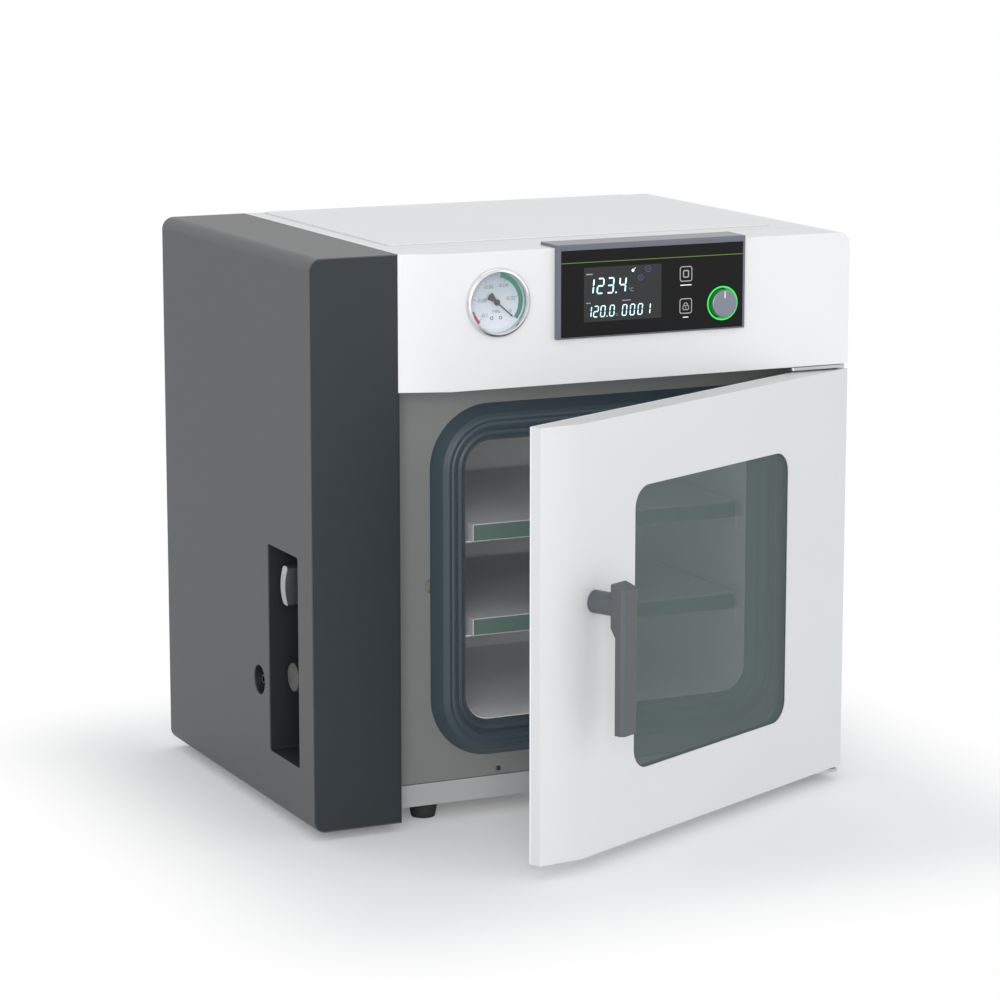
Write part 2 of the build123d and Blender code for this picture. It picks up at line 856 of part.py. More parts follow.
stem_x = door_left + stem_from_left
stem_z = door_z + stem_height
seal_edge_x = chamber_left - seal_rim_side - seal_width
finger_x = seal_edge_x - finger_seal_gap - finger_width / 2
latch_hole_x = finger_x + latch_hole_offset
finger_z = stem_z - finger_drop
latch_hole_z = finger_z + (finger_height + latch_lift) / 2
keeper_slot_top = finger_z + finger_height + latch_lift + moving_gap * 2
frame_screw_z = sill_top + frame_screw_rise
frame_screw_xs = (chamber_left + frame_screw_inset, chamber_right - frame_screw_inset)
hinge_leaf_x = body_right - frame_sheet - hinge_leaf_width / 2
hinge_screw_xs = (hinge_leaf_x - hinge_screw_spread / 2, hinge_leaf_x + hinge_screw_spread / 2)
upper_plate_z = door_top + hinge_bush_flange + moving_gap
lower_plate_z = door_z - hinge_bush_flange - moving_gap - hinge_plate
upper_hinge_screw_z = upper_plate_z - hinge_leaf_height / 2
lower_hinge_screw_z = pan_z + pan_lip / 2

# Front frame: grey plate round the chamber's mouth, with the latch keeper welded behind it.
with BuildPart() as front_frame:
    block(
        (inner_left, frame_front, sill_top + seam), (inner_right, frame_back, fascia_bottom)
    )
    for side_x in (inner_left, inner_right - frame_sheet):
        block(
            (side_x, frame_back, sill_top + seam),
            (side_x + frame_sheet, frame_back + lip, fascia_bottom),
        )
    block(
        (finger_x - keeper_width / 2, frame_back, latch_hole_z - keeper_height / 2),
        (
            finger_x + keeper_width / 2,
            frame_back + keeper_sheet,
            latch_hole_z + keeper_height / 2,
        ),
    )
    block(
        (finger_x - keeper_slot_width / 2, frame_back, latch_hole_z - latch_hole_radius),
        (finger_x + keeper_slot_width / 2, frame_back + keeper_sheet, keeper_slot_top),
        Mode.SUBTRACT,
    )
    rod(
        (latch_hole_x, frame_front, latch_hole_z),
        BACK,
        latch_hole_radius,
        frame_sheet,
        Mode.SUBTRACT,
    )
    extrude(
        rounded_window(
            frame_front,
            chamber_shift,
            chamber_mid_z,
            chamber_width + 2 * chamber_wall,
            chamber_height + 2 * chamber_wall,
            chamber_corner + chamber_wall,
        ),
        amount=-frame_sheet,
        mode=Mode.SUBTRACT,
    )
    for hole_x in frame_screw_xs:
        rod((hole_x, frame_front, frame_screw_z), BACK, screw_radius, frame_sheet, Mode.SUBTRACT)
    for hole_x in hinge_screw_xs:
        start = (hole_x, frame_front, upper_hinge_screw_z)
        rod(start, BACK, screw_radius, frame_sheet, Mode.SUBTRACT)
save(front_frame, "front_frame")

# Sill: folded strip under the frame.
with BuildPart() as sill:
    block((inner_left, frame_front, pan_z), (inner_right, frame_back, sill_top))
    block(
        (inner_left, frame_back, sill_top - frame_sheet), (inner_right, frame_back + lip, sill_top)
    )
    for hole_x in hinge_screw_xs:
        start = (hole_x, frame_front, lower_hinge_screw_z)
        rod(start, BACK, screw_radius, frame_sheet, Mode.SUBTRACT)
save(sill, "sill")

foot_x = body_width / 2 - foot_inset_x
foot_y = cabinet_depth / 2 - foot_inset_y
post_xs = (chamber_left + post_side_inset, chamber_right - post_side_inset)
post_ys = (frame_front + post_front_inset, outer_back - post_rear_inset)
post_places = [(x, y) for x in post_xs for y in post_ys]
pan_floor = pan_z + frame_sheet

# Base pan: folded tray with the four posts that carry the chamber welded in.
with BuildPart() as base_pan:
    block((inner_left, frame_back, pan_z), (inner_right, inner_rear, pan_z + pan_lip))
    block(
        (inner_left + frame_sheet, frame_back + frame_sheet, pan_floor),
        (inner_right - frame_sheet, inner_rear - frame_sheet, pan_z + pan_lip),
        Mode.SUBTRACT,
    )
    with BuildSketch(Plane.XY.offset(pan_floor)):
        with Locations(*post_places):
            Rectangle(post_size, post_size)
            Rectangle(post_size - 2 * post_wall, post_size - 2 * post_wall, mode=Mode.SUBTRACT)
    extrude(amount=outer_floor - pan_floor)
    with BuildSketch(Plane.XY.offset(pan_z)):
        with GridLocations(2 * foot_x, 2 * foot_y, 2, 2):
            Circle(foot_screw_radius + fit_gap)
    extrude(amount=frame_sheet, mode=Mode.SUBTRACT)
    for hole_x in hinge_screw_xs:
        start = (hole_x, frame_back, lower_hinge_screw_z)
        rod(start, BACK, screw_radius, frame_sheet, Mode.SUBTRACT)
    rear_screw_holes()
save(base_pan, "base_pan")

# Deck plate: floor of the electronics bay above the insulation.
deck_lip_front = frame_back + lip + seam

with BuildPart() as deck_plate:
    block(
        (inner_left, fascia_back, fascia_bottom), (inner_right, inner_rear, fascia_bottom + sheet)
    )
    for side_x in (inner_left, inner_right - sheet):
        block(
            (side_x, deck_lip_front, fascia_bottom - lip),
            (side_x + sheet, inner_rear, fascia_bottom),
        )
    block(
        (inner_left, inner_rear - sheet, fascia_bottom - lip),
        (inner_right, inner_rear, fascia_bottom),
    )
    rod(
        (gauge_port_x, gauge_port_y, fascia_bottom),
        UP,
        pipe_radius + grommet_gap,
        sheet,
        Mode.SUBTRACT,
    )
save(deck_plate, "deck_plate")

inlet_centre_x = body_right - inlet_from_right
inlet_z = pan_z + inlet_centre_height
# Rear panel: closes both column and body, with vents and the power inlet's cut-out.
with BuildPart() as rear_panel:
    extrude(column_outline(inner_rear, sheet), amount=-sheet)
    extrude(body_outline(inner_rear, sheet), amount=-sheet)
    with BuildSketch(facing_front(inner_rear)):
        with Locations((0, roof_z - vent_drop)):
            with GridLocations(vent_column_pitch, vent_pitch, vent_columns, vent_rows):
                SlotOverall(vent_slot_length, vent_slot_width)
        with Locations((inlet_centre_x, inlet_z)):
            Rectangle(inlet_width - 2 * inlet_rim, inlet_height - 2 * inlet_rim)
    extrude(amount=-sheet, mode=Mode.SUBTRACT)
    rear_screw_holes()
save(rear_panel, "rear_panel")

# ---------------------------------------------------------------- chamber
# Chamber: welded stainless box with its mouth flange, the pump port and the gauge port.
with BuildPart() as chamber:
    extrude(
        rounded_window(
            frame_front,
            chamber_shift,
            chamber_mid_z,
            chamber_width + 2 * chamber_wall,
            chamber_height + 2 * chamber_wall,
            chamber_corner + chamber_wall,
        ),
        amount=-(chamber_depth + chamber_wall),
    )
    extrude(
        rounded_window(
            frame_back,
            chamber_shift,
            chamber_mid_z,
            chamber_width + 2 * (chamber_wall + mouth_flange_width),
            chamber_height + 2 * (chamber_wall + mouth_flange_width),
            chamber_corner + chamber_wall + mouth_flange_width,
        ),
        amount=-mouth_flange,
    )
    rod((outer_left, port_y, port_z), LEFT, pipe_radius + port_wall, port_length)
    rod((gauge_port_x, gauge_port_y, outer_top), UP, pipe_radius + port_wall, port_length)
    extrude(
        rounded_window(
            frame_front,
            chamber_shift,
            chamber_mid_z,
            chamber_width,
            chamber_height,
            chamber_corner,
        ),
        amount=-chamber_depth,
        mode=Mode.SUBTRACT,
    )
    socket_radius = pipe_radius + fit_gap
    rod((outer_left, port_y, port_z), LEFT, socket_radius, port_length, Mode.SUBTRACT)
    rod((outer_left, port_y, port_z), RIGHT, pipe_radius - pipe_wall, chamber_wall, Mode.SUBTRACT)
    gauge_port = (gauge_port_x, gauge_port_y, outer_top)
    rod(gauge_port, UP, socket_radius, port_length, Mode.SUBTRACT)
    rod(gauge_port, DOWN, pipe_radius - pipe_wall, chamber_wall, Mode.SUBTRACT)
    probe_x = chamber_shift + probe_offset_x
    probe_z = chamber_top - probe_drop
    rod((probe_x, chamber_back, probe_z), BACK, probe_radius, chamber_wall, Mode.SUBTRACT)
save(chamber, "chamber")

# Heater mats: silicone mats on the chamber's two sides and underside.
heater_front = frame_back + mouth_flange + heater_margin
heater_back = outer_back - heater_margin
heater_low = outer_floor + chamber_corner + heater_margin / 2
heater_high = outer_top - chamber_corner - heater_margin / 2

with BuildPart() as heater_mats:
    block(
        (outer_left - heater_thickness, heater_front, heater_low),
        (outer_left, heater_back, heater_high),
    )
    block(
        (outer_right, heater_front, heater_low),
        (outer_right + heater_thickness, heater_back, heater_high),
    )
    block(
        (
            chamber_left + bottom_heater_inset,
            heater_front,
            outer_floor - heater_thickness,
        ),
        (chamber_right - bottom_heater_inset, heater_back, outer_floor),
    )
    clearance = pipe_radius + port_wall + grommet_gap
    rod((outer_left, port_y, port_z), LEFT, clearance, heater_thickness, Mode.SUBTRACT)
save(heater_mats, "heater_mats")

# Insulation: mineral wool case round the chamber, with ways through for pipes and posts.
wool_inner = heater_thickness
wool_outer = heater_thickness + insulation_thickness
wool_front = frame_front + insulation_front_gap + frame_sheet

with BuildPart() as insulation:
    block(
        (outer_left - wool_outer, wool_front, outer_floor - wool_outer),
        (outer_right + wool_outer, outer_back + insulation_thickness, outer_top + wool_outer),
    )
    block(
        (outer_left - wool_inner, wool_front, outer_floor - wool_inner),
        (outer_right + wool_inner, outer_back, outer_top + wool_inner),
        Mode.SUBTRACT,
    )
    rod(
        (outer_left - wool_inner, port_y, port_z),
        LEFT,
        pipe_radius + port_wall + grommet_gap,
        insulation_thickness,
        Mode.SUBTRACT,
    )
    rod(
        (gauge_port_x, gauge_port_y, outer_top + wool_inner),
        UP,
        pipe_radius + port_wall + grommet_gap,
        insulation_thickness,
        Mode.SUBTRACT,
    )
    rod(
        (probe_x, outer_back, probe_z),
        BACK,
        probe_nut_radius + grommet_gap,
        insulation_thickness,
        Mode.SUBTRACT,
    )
    with BuildSketch(Plane.XY.offset(outer_floor - wool_outer)):
        with Locations(*post_places):
            Rectangle(post_size, post_size)
    extrude(amount=insulation_thickness, mode=Mode.SUBTRACT)
save(insulation, "insulation")

# Temperature probe: sheathed sensor through the chamber's back wall with its gland nut.
with BuildPart() as temperature_probe:
    rod(
        (probe_x, chamber_back - probe_reach, probe_z),
        BACK,
        probe_radius,
        probe_reach + chamber_wall + probe_nut_length,
    )
    with BuildSketch(facing_front(outer_back)):
        with Locations((probe_x, probe_z)):
            RegularPolygon(probe_nut_radius, 6)
    extrude(amount=-probe_nut_length)
save(temperature_probe, "temperature_probe")

# Door seal: silicone section swept round the chamber's mouth. Each pair is the distance out
# from the inner edge and the height above the frame.
seal_height = frame_front - door_back - pane_proud - seal_air_gap
seal_section = [
    (0, 0),
    (0, seal_height - 11.5),
    (3.8, seal_height - 7.0),
    (7.5, seal_height - 4.5),
    (9.9, seal_height - 5.6),
    (11.5, seal_height - 5.6),
    (14.2, seal_height - 1.0),
    (16.7, seal_height),
    (22.4, seal_height),
    (24.7, seal_height - 0.8),
    (27.0, seal_height - 2.4),
    (seal_width - 1.2, 2.4),
    (seal_width, 0),
]
seal_path = rounded_window(
    frame_front,
    chamber_shift,
    chamber_mid_z,
    chamber_width + 2 * seal_rim_side,
    chamber_height + 2 * seal_rim_level,
    chamber_corner,
).wires()[0]
seal_outward = (seal_path % 0).cross(Vector(FRONT))

with BuildPart() as door_seal:
    with BuildSketch(
        Plane(origin=seal_path @ 0, x_dir=seal_outward, z_dir=(seal_path % 0) * -1)
    ):
        with BuildLine():
            Polyline(*seal_section, close=True)
        make_face()
    sweep(path=seal_path)
save(door_seal, "door_seal")

# ---------------------------------------------------------------- shelves
shelf_front = frame_front + shelf_front_inset
shelf_back = chamber_back - shelf_rear_gap
upper_shelf_top = chamber_z + upper_shelf_level
lower_shelf_top = chamber_z + lower_shelf_level
rail_tops = [top - shelf_height - moving_gap for top in (upper_shelf_top, lower_shelf_top)]

# Shelf rails: ledge and web at each wall and level, with a rounded nose at the front.
with BuildPart() as shelf_rails:
    for rail_top in rail_tops:
        for wall_x, inward in ((chamber_left, 1), (chamber_right, -1)):
            ledge_x = wall_x + inward * rail_ledge
            ledge = Plane.XY.offset(rail_top - rail_sheet)
            with BuildSketch(ledge) as ledge_sketch:
                with Locations(
                    ((wall_x + ledge_x) / 2, (frame_front + rail_front_inset + chamber_back) / 2)
                ):
                    Rectangle(
                        rail_ledge,
                        chamber_depth - rail_front_inset - rail_rear_inset,
                    )
                front_corners = ledge_sketch.vertices().group_by(Axis.Y)[0]
                fillet(front_corners.sort_by(Axis.X)[-1 if inward > 0 else 0], rail_nose_radius)
            extrude(amount=rail_sheet)
            web_low = (
                min(wall_x, wall_x + inward * rail_sheet),
                frame_front + rail_front_inset + rail_nose_radius,
                rail_top - rail_web,
            )
            web_high = (
                max(wall_x, wall_x + inward * rail_sheet),
                chamber_back - rail_rear_inset,
                rail_top,
            )
            block(web_low, web_high)
save(shelf_rails, "shelf_rails")


def shelf(top):
    """Tray-like shelf: a flat plate with a folded edge down on all four sides."""
    left = chamber_left + shelf_side_gap
    right = chamber_right - shelf_side_gap
    block((left, shelf_front, top - shelf_height), (right, shelf_back, top))
    block(
        (left + shelf_plate, shelf_front + shelf_plate, top - shelf_height),
        (right - shelf_plate, shelf_back - shelf_plate, top - shelf_plate),
        Mode.SUBTRACT,
    )


with BuildPart() as upper_shelf:
    shelf(upper_shelf_top)
save(upper_shelf, "upper_shelf")

with BuildPart() as lower_shelf:
    shelf(lower_shelf_top)
save(lower_shelf, "lower_shelf")

# ---------------------------------------------------------------- vacuum gauge
lens_front = fascia_front - gauge_bezel_proud + 3.0
lens_back = lens_front + gauge_lens_thickness
dial_face = lens_back + gauge_dial_drop
dial_back = dial_face + gauge_dial_thickness


def gauge_at(y, angle=0.0):
    """Plane across the gauge's axis at a depth, its x axis turned from the right."""
    x_dir = (cos(radians(angle)), 0, sin(radians(angle)))
    return Plane(origin=(gauge_centre_x, y, gauge_z), x_dir=x_dir, z_dir=FRONT)


# Gauge case: turned cup with the movement inside and a threaded stud behind.
with BuildPart() as gauge_case:
    rod((gauge_centre_x, lens_back, gauge_z), BACK, gauge_case_radius, gauge_back - lens_back)
    rod(
        (gauge_centre_x, lens_back, gauge_z),
        BACK,
        gauge_case_radius - gauge_case_wall,
        gauge_back - lens_back - gauge_case_wall,
        Mode.SUBTRACT,
    )
    rod(
        (gauge_centre_x, dial_back, gauge_z), BACK, gauge_movement_radius, gauge_back - dial_back
    )
    with BuildSketch(gauge_at(gauge_back)):
        RegularPolygon(gauge_stud_radius, 6)
    extrude(amount=-gauge_stud_length)
    rod(
        (gauge_centre_x, dial_back, gauge_z),
        BACK,
        needle_arbor_radius + running_gap,
        gauge_case_depth / 3,
        Mode.SUBTRACT,
    )
save(gauge_case, "gauge_case")

# Gauge bezel: rolled chrome ring that holds the lens.
bezel_front = fascia_front - gauge_bezel_proud

with BuildPart() as gauge_bezel:
    with BuildSketch(Plane.YZ.offset(gauge_centre_x)):
        with BuildLine():
            Polyline(
                (lens_front, gauge_z + gauge_case_radius + fit_gap),
                (fascia_front, gauge_z + gauge_case_radius + fit_gap),
                (fascia_front, gauge_z + gauge_bezel_radius),
                (bezel_front + 3.5, gauge_z + gauge_bezel_radius),
            )
            ThreePointArc(
                (bezel_front + 3.5, gauge_z + gauge_bezel_radius),
                (bezel_front + 1.0, gauge_z + gauge_bezel_radius - 1.2),
                (bezel_front, gauge_z + gauge_bezel_radius - 3.6),
            )
            Polyline(
                (bezel_front, gauge_z + gauge_bezel_radius - 3.6),
                (bezel_front + 0.6, gauge_z + gauge_view_radius + 0.8),
                (lens_front, gauge_z + gauge_view_radius),
                (lens_front, gauge_z + gauge_case_radius + fit_gap),
            )
        make_face()
    gauge_axis = Axis((gauge_centre_x, fascia_front, gauge_z), FRONT)
    revolve(axis=gauge_axis)
save(gauge_bezel, "gauge_bezel")

with BuildPart() as gauge_lens:
    rod((gauge_centre_x, lens_front, gauge_z), BACK, gauge_case_radius, gauge_lens_thickness)
save(gauge_lens, "gauge_lens")

with BuildPart() as gauge_dial:
    dial_radius = gauge_case_radius - gauge_case_wall - fit_gap
    rod((gauge_centre_x, dial_face, gauge_z), BACK, dial_radius, gauge_dial_thickness)
    rod(
        (gauge_centre_x, dial_face, gauge_z),
        BACK,
        needle_arbor_radius + moving_gap,
        gauge_dial_thickness,
        Mode.SUBTRACT,
    )
save(gauge_dial, "gauge_dial")

# Gauge needle: pointer, counterweight tail and hub on the movement's arbor.
needle_back = dial_face - needle_lift
needle_plane = gauge_at(needle_back, needle_rest_angle)

with BuildPart() as gauge_needle:
    with BuildSketch(needle_plane):
        Circle(needle_hub_radius)
        with BuildLine():
            Polyline(
                (0, needle_width / 2),
                (needle_length - 2, needle_width / 2),
                (needle_length - 2, needle_width),
                (needle_length, 0),
                (needle_length - 2, -needle_width),
                (needle_length - 2, -needle_width / 2),
                (0, -needle_width / 2),
                close=True,
            )
        make_face()
        with BuildLine():
            Polyline(
                (0, needle_width / 2),
                (-needle_tail, needle_tail_width / 2),
                (-needle_tail - 1.2, 0),
                (-needle_tail, -needle_tail_width / 2),
                (0, -needle_width / 2),
                close=True,
            )
        make_face()
    extrude(amount=needle_thickness)
    rod(
        (gauge_centre_x, needle_back, gauge_z),
        BACK,
        needle_arbor_radius,
        dial_back - needle_back + gauge_case_depth / 6,
    )
    rod((gauge_centre_x, needle_back, gauge_z), FRONT, needle_hub_radius / 2, 2 * needle_thickness)
save(gauge_needle, "gauge_needle")

# ---------------------------------------------------------------- control panel
glass_left = panel_left_x + glass_margin_left
glass_right = panel_right_x - glass_margin_right
glass_bottom = panel_bottom_z + glass_margin_bottom
glass_top = panel_top_z - glass_margin_top
glass_front = panel_front + glass_recess
glass_back = glass_front + glass_thickness
board_front = fascia_front + skirt_depth - board_thickness
dial_x = panel_right_x - dial_from_right
dial_z = panel_bottom_z + dial_height

# Control bezel: moulded frame on the fascia, hooked back over the roof.
with BuildPart() as control_bezel:
    block(
        (panel_left_x, panel_front, panel_bottom_z), (panel_right_x, fascia_front, panel_top_z)
    )
    block(
        (panel_left_x, fascia_front, roof_z),
        (panel_right_x, fascia_front + panel_hook, panel_top_z),
    )
    fillet(control_bezel.faces().sort_by(Axis.Y)[0].edges(), panel_edge_radius)
    block(
        (glass_left - glass_fit, panel_front, glass_bottom - glass_fit),
        (glass_right + glass_fit, glass_back, glass_top + glass_fit),
        Mode.SUBTRACT,
    )
    block((skirt_left, glass_back, skirt_bottom), (skirt_right, fascia_front, skirt_top))
    block(
        (skirt_left, fascia_front, skirt_bottom),
        (skirt_right, fascia_front + skirt_depth, skirt_top),
    )
    block(
        (skirt_left + skirt_wall, glass_back, skirt_bottom + skirt_wall),
        (skirt_right - skirt_wall, fascia_front + skirt_depth, skirt_top - skirt_wall),
        Mode.SUBTRACT,
    )
save(control_bezel, "control_bezel")

# Control glass: black touch glass with a hole for the dial's light ring.
with BuildPart() as control_glass:
    block((glass_left, glass_front, glass_bottom), (glass_right, glass_back, glass_top))
    rod(
        (dial_x, glass_front, dial_z),
        BACK,
        light_ring_radius + fit_gap,
        glass_thickness,
        Mode.SUBTRACT,
    )
save(control_glass, "control_glass")

# Display module: screen between the glass and the board.
with BuildPart() as display_module:
    block(
        (panel_left_x + display_left, glass_back, panel_bottom_z + display_bottom),
        (
            panel_left_x + display_left + display_width,
            board_front,
            panel_bottom_z + display_bottom + display_height,
        ),
    )
save(display_module, "display_module")

# Control board: circuit board in the bezel's skirt, with the dial's encoder soldered on.
encoder_front = board_front - encoder_depth
encoder_half = encoder_size / 2

with BuildPart() as control_board:
    block(
        (skirt_left + skirt_wall, board_front, skirt_bottom + skirt_wall),
        (skirt_right - skirt_wall, board_front + board_thickness, skirt_top - skirt_wall),
    )
    block(
        (dial_x - encoder_half, encoder_front, dial_z - encoder_half),
        (dial_x + encoder_half, board_front, dial_z + encoder_half),
    )
    rod(
        (dial_x, encoder_front, dial_z),
        BACK,
        dial_shaft_radius + running_gap,
        encoder_depth,
        Mode.SUBTRACT,
    )
save(control_board, "control_board")

# Knob light ring: translucent tube from the board to the glass's face.
with BuildPart() as knob_light_ring:
    ring_length = board_front - panel_front
    rod((dial_x, panel_front, dial_z), BACK, light_ring_radius, ring_length)
    rod(
        (dial_x, panel_front, dial_z),
        BACK,
        light_ring_radius - light_ring_width,
        ring_length,
        Mode.SUBTRACT,
    )
save(knob_light_ring, "knob_light_ring")

# Encoder plunger: sprung shaft that slides in the encoder when the dial is pressed.
knob_front_y = panel_front - dial_knob_proud
knob_back_y = knob_front_y + dial_knob_length
plunger_front = knob_front_y + dial_knob_length / 2
plunger_back = board_front - dial_press_travel - moving_gap

with BuildPart() as encoder_plunger:
    rod(
        (dial_x, plunger_front, dial_z),
        BACK,
        dial_shaft_radius,
        plunger_back - plunger_front,
    )
save(encoder_plunger, "encoder_plunger")

# Dial knob: turned cap with a softened rim, running on the plunger.
with BuildPart() as dial_knob:
    rod((dial_x, knob_front_y, dial_z), BACK, dial_knob_radius, dial_knob_length)
    fillet(dial_knob.faces().sort_by(Axis.Y)[0].edges(), dial_knob_edge)
    rod(
        (dial_x, plunger_front - moving_gap, dial_z),
        BACK,
        dial_shaft_radius + running_gap,
        knob_back_y - plunger_front + moving_gap,
        Mode.SUBTRACT,
    )
save(dial_knob, "dial_knob")

# ---------------------------------------------------------------- rear electrics
inlet_back = rear_y + inlet_flange
socket_z = inlet_z - socket_drop
rocker_z = inlet_z + rocker_lift
cavity_width = rocker_width + 2 * moving_gap
cavity_height = rocker_height + 2 * rocker_gap
rocker_y = inlet_back - rocker_depth / 2


def pin_place(index):
    """Place of one contact pin: the two outer ones low, the middle one high."""
    rise = pin_rise / 2 if index == 0 else -pin_rise / 2
    return (inlet_centre_x + index * pin_spacing, socket_z + rise)


# Power inlet: mains socket with its contact pins and the switch's well.
with BuildPart() as power_inlet:
    half_width = inlet_width / 2
    half_height = inlet_height / 2
    block(
        (inlet_centre_x - half_width, rear_y, inlet_z - half_height),
        (inlet_centre_x + half_width, inlet_back, inlet_z + half_height),
    )
    fillet(power_inlet.edges().filter_by(Axis.Y), socket_corner)
    block(
        (
            inlet_centre_x - half_width + inlet_rim,
            inlet_back - inlet_body_depth,
            inlet_z - half_height + inlet_rim,
        ),
        (
            inlet_centre_x + half_width - inlet_rim,
            rear_y,
            inlet_z + half_height - inlet_rim,
        ),
    )
    with BuildSketch(facing_front(inlet_back)):
        with Locations((inlet_centre_x, socket_z)):
            RectangleRounded(socket_width, socket_height, socket_corner)
    extrude(amount=socket_depth, mode=Mode.SUBTRACT)
    with BuildSketch(facing_front(inlet_back)):
        with Locations((inlet_centre_x, rocker_z)):
            Rectangle(cavity_width, cavity_height)
    extrude(amount=rocker_depth + rocker_proud, mode=Mode.SUBTRACT)
    rod(
        (inlet_centre_x - cavity_width / 2 - rocker_pivot_reach, rocker_y, rocker_z),
        RIGHT,
        rocker_pivot_radius + running_gap,
        cavity_width + 2 * rocker_pivot_reach,
        Mode.SUBTRACT,
    )
    with BuildSketch(facing_front(inlet_back - socket_depth)):
        with Locations(*[pin_place(index) for index in (-1, 0, 1)]):
            Rectangle(pin_thickness, pin_width)
    extrude(amount=-pin_length)
save(power_inlet, "power_inlet")

# Power rocker: tilting switch cap on its two pivot stubs.
rocker_back = inlet_back - rocker_depth + rocker_proud

with BuildPart() as power_rocker:
    with BuildSketch(Plane.YZ.offset(inlet_centre_x - rocker_width / 2)):
        with BuildLine():
            Polyline(
                (rocker_back, rocker_z - rocker_height / 4),
                (inlet_back - rocker_proud, rocker_z - rocker_height / 2 + moving_gap),
                (inlet_back + rocker_proud, rocker_z - rocker_height / 2 + 2 * moving_gap),
                (inlet_back, rocker_z),
                (inlet_back - rocker_proud / 2, rocker_z + rocker_height / 2 - 3 * moving_gap),
                (inlet_back - 3 * rocker_proud, rocker_z + rocker_height / 2 - moving_gap),
                (rocker_back, rocker_z + rocker_height / 4),
                close=True,
            )
        make_face()
    extrude(amount=rocker_width)
    rod(
        (inlet_centre_x - rocker_width / 2 - rocker_pivot_reach, rocker_y, rocker_z),
        RIGHT,
        rocker_pivot_radius,
        rocker_width + 2 * rocker_pivot_reach,
    )
save(power_rocker, "power_rocker")

# Power supply: boxed unit on the deck.
with BuildPart() as power_supply:
    block(
        (
            body_right - supply_right_gap - supply_width,
            rear_y - supply_rear_gap - supply_depth,
            fascia_bottom + sheet,
        ),
        (
            body_right - supply_right_gap,
            rear_y - supply_rear_gap,
            fascia_bottom + sheet + supply_height,
        ),
    )
    chamfer(power_supply.edges().filter_by(Axis.Z), 2.0)
save(power_supply, "power_supply")

# ---------------------------------------------------------------- feet
# Feet: tapered rubber feet with a stepped recess, wide below the screw's head.
with BuildPart() as feet:
    with GridLocations(2 * foot_x, 2 * foot_y, 2, 2):
        Cone(foot_bottom_radius, foot_top_radius, foot_height, align=SEATED)
        Cylinder(foot_seat_radius, foot_recess_depth, align=SEATED, mode=Mode.SUBTRACT)
        Cylinder(
            foot_recess_radius,
            foot_recess_depth - foot_screw_head,
            align=SEATED,
            mode=Mode.SUBTRACT,
        )
        Cylinder(
            foot_screw_radius + fit_gap, foot_height, align=SEATED, mode=Mode.SUBTRACT
        )
save(feet, "feet")

with BuildPart(Plane.XY.offset(foot_recess_depth - foot_screw_head)) as foot_screws:
    with GridLocations(2 * foot_x, 2 * foot_y, 2, 2):
        Cylinder(foot_screw_head_radius, foot_screw_head, align=SEATED)
        Cylinder(
            foot_screw_radius,
            foot_height - foot_recess_depth + foot_screw_head + 2 * frame_sheet,
            align=SEATED,
        )
save(foot_screws, "foot_screws")

# ---------------------------------------------------------------- hinges
hinge_right = body_right - frame_sheet
hinge_front = hinge_y - hinge_plate_front

# Hinge plates: angle brackets on the front frame and on the sill.
with BuildPart() as hinge_plates:
    for plate_z, leaf_low, leaf_high, screw_z in (
        (upper_plate_z, upper_plate_z - hinge_leaf_height, upper_plate_z, upper_hinge_screw_z),
        (lower_plate_z, lower_plate_z, lower_plate_z + hinge_leaf_height, lower_hinge_screw_z),
    ):
        block(
            (hinge_right - hinge_plate_width, hinge_front, plate_z),
            (hinge_right, frame_front, plate_z + hinge_plate),
        )
        block(
            (hinge_right - hinge_leaf_width, frame_front - hinge_plate, leaf_low),
            (hinge_right, frame_front, leaf_high),
        )
        rod((hinge_x, hinge_y, plate_z), UP, hinge_pin_radius, hinge_plate, Mode.SUBTRACT)
        for hole_x in hinge_screw_xs:
            start = (hole_x, frame_front - hinge_plate, screw_z)
            rod(start, BACK, screw_radius, hinge_plate, Mode.SUBTRACT)
    fillet(hinge_plates.edges().filter_by(Axis.Z).group_by(Axis.Y)[0], 3.0)
save(hinge_plates, "hinge_plates")

# Hinge pins: pressed into the plates and standing in the door's bushes.
pin_reach = hinge_pin_engagement + hinge_bush_flange + moving_gap + hinge_plate

with BuildPart() as hinge_pins:
    rod((hinge_x, hinge_y, upper_plate_z + hinge_plate), DOWN, hinge_pin_radius, pin_reach)
    rod((hinge_x, hinge_y, lower_plate_z), UP, hinge_pin_radius, pin_reach)
save(hinge_pins, "hinge_pins")

# Hinge bushes: flanged plastic bushes in the door's top and bottom.
bush_outer = hinge_pin_radius + hinge_bush_wall

with BuildPart() as hinge_bushes:
    for edge_z, inward, outward in ((door_top, DOWN, UP), (door_z, UP, DOWN)):
        edge = (hinge_x, hinge_y, edge_z)
        rod(edge, inward, bush_outer, hinge_bush_length)
        rod(edge, outward, hinge_bush_flange_radius, hinge_bush_flange)
        bore = hinge_pin_radius + running_gap
        rod(edge, inward, bore, hinge_bush_length, Mode.SUBTRACT)
        rod(edge, outward, bore, hinge_bush_flange, Mode.SUBTRACT)
save_on_door(hinge_bushes, "hinge_bushes")

# ---------------------------------------------------------------- door
window_width = door_right - door_left - window_left_margin - window_right_margin
window_height = door_height - window_top_margin - window_bottom_margin
window_centre_x = door_left + window_left_margin + window_width / 2
window_z = door_z + window_bottom_margin + window_height / 2
pane_x = window_centre_x
pane_width = window_width + 2 * window_pane_overlap
pane_height = window_height + 2 * window_pane_overlap
bush_radius = stem_shaft_radius + bush_wall

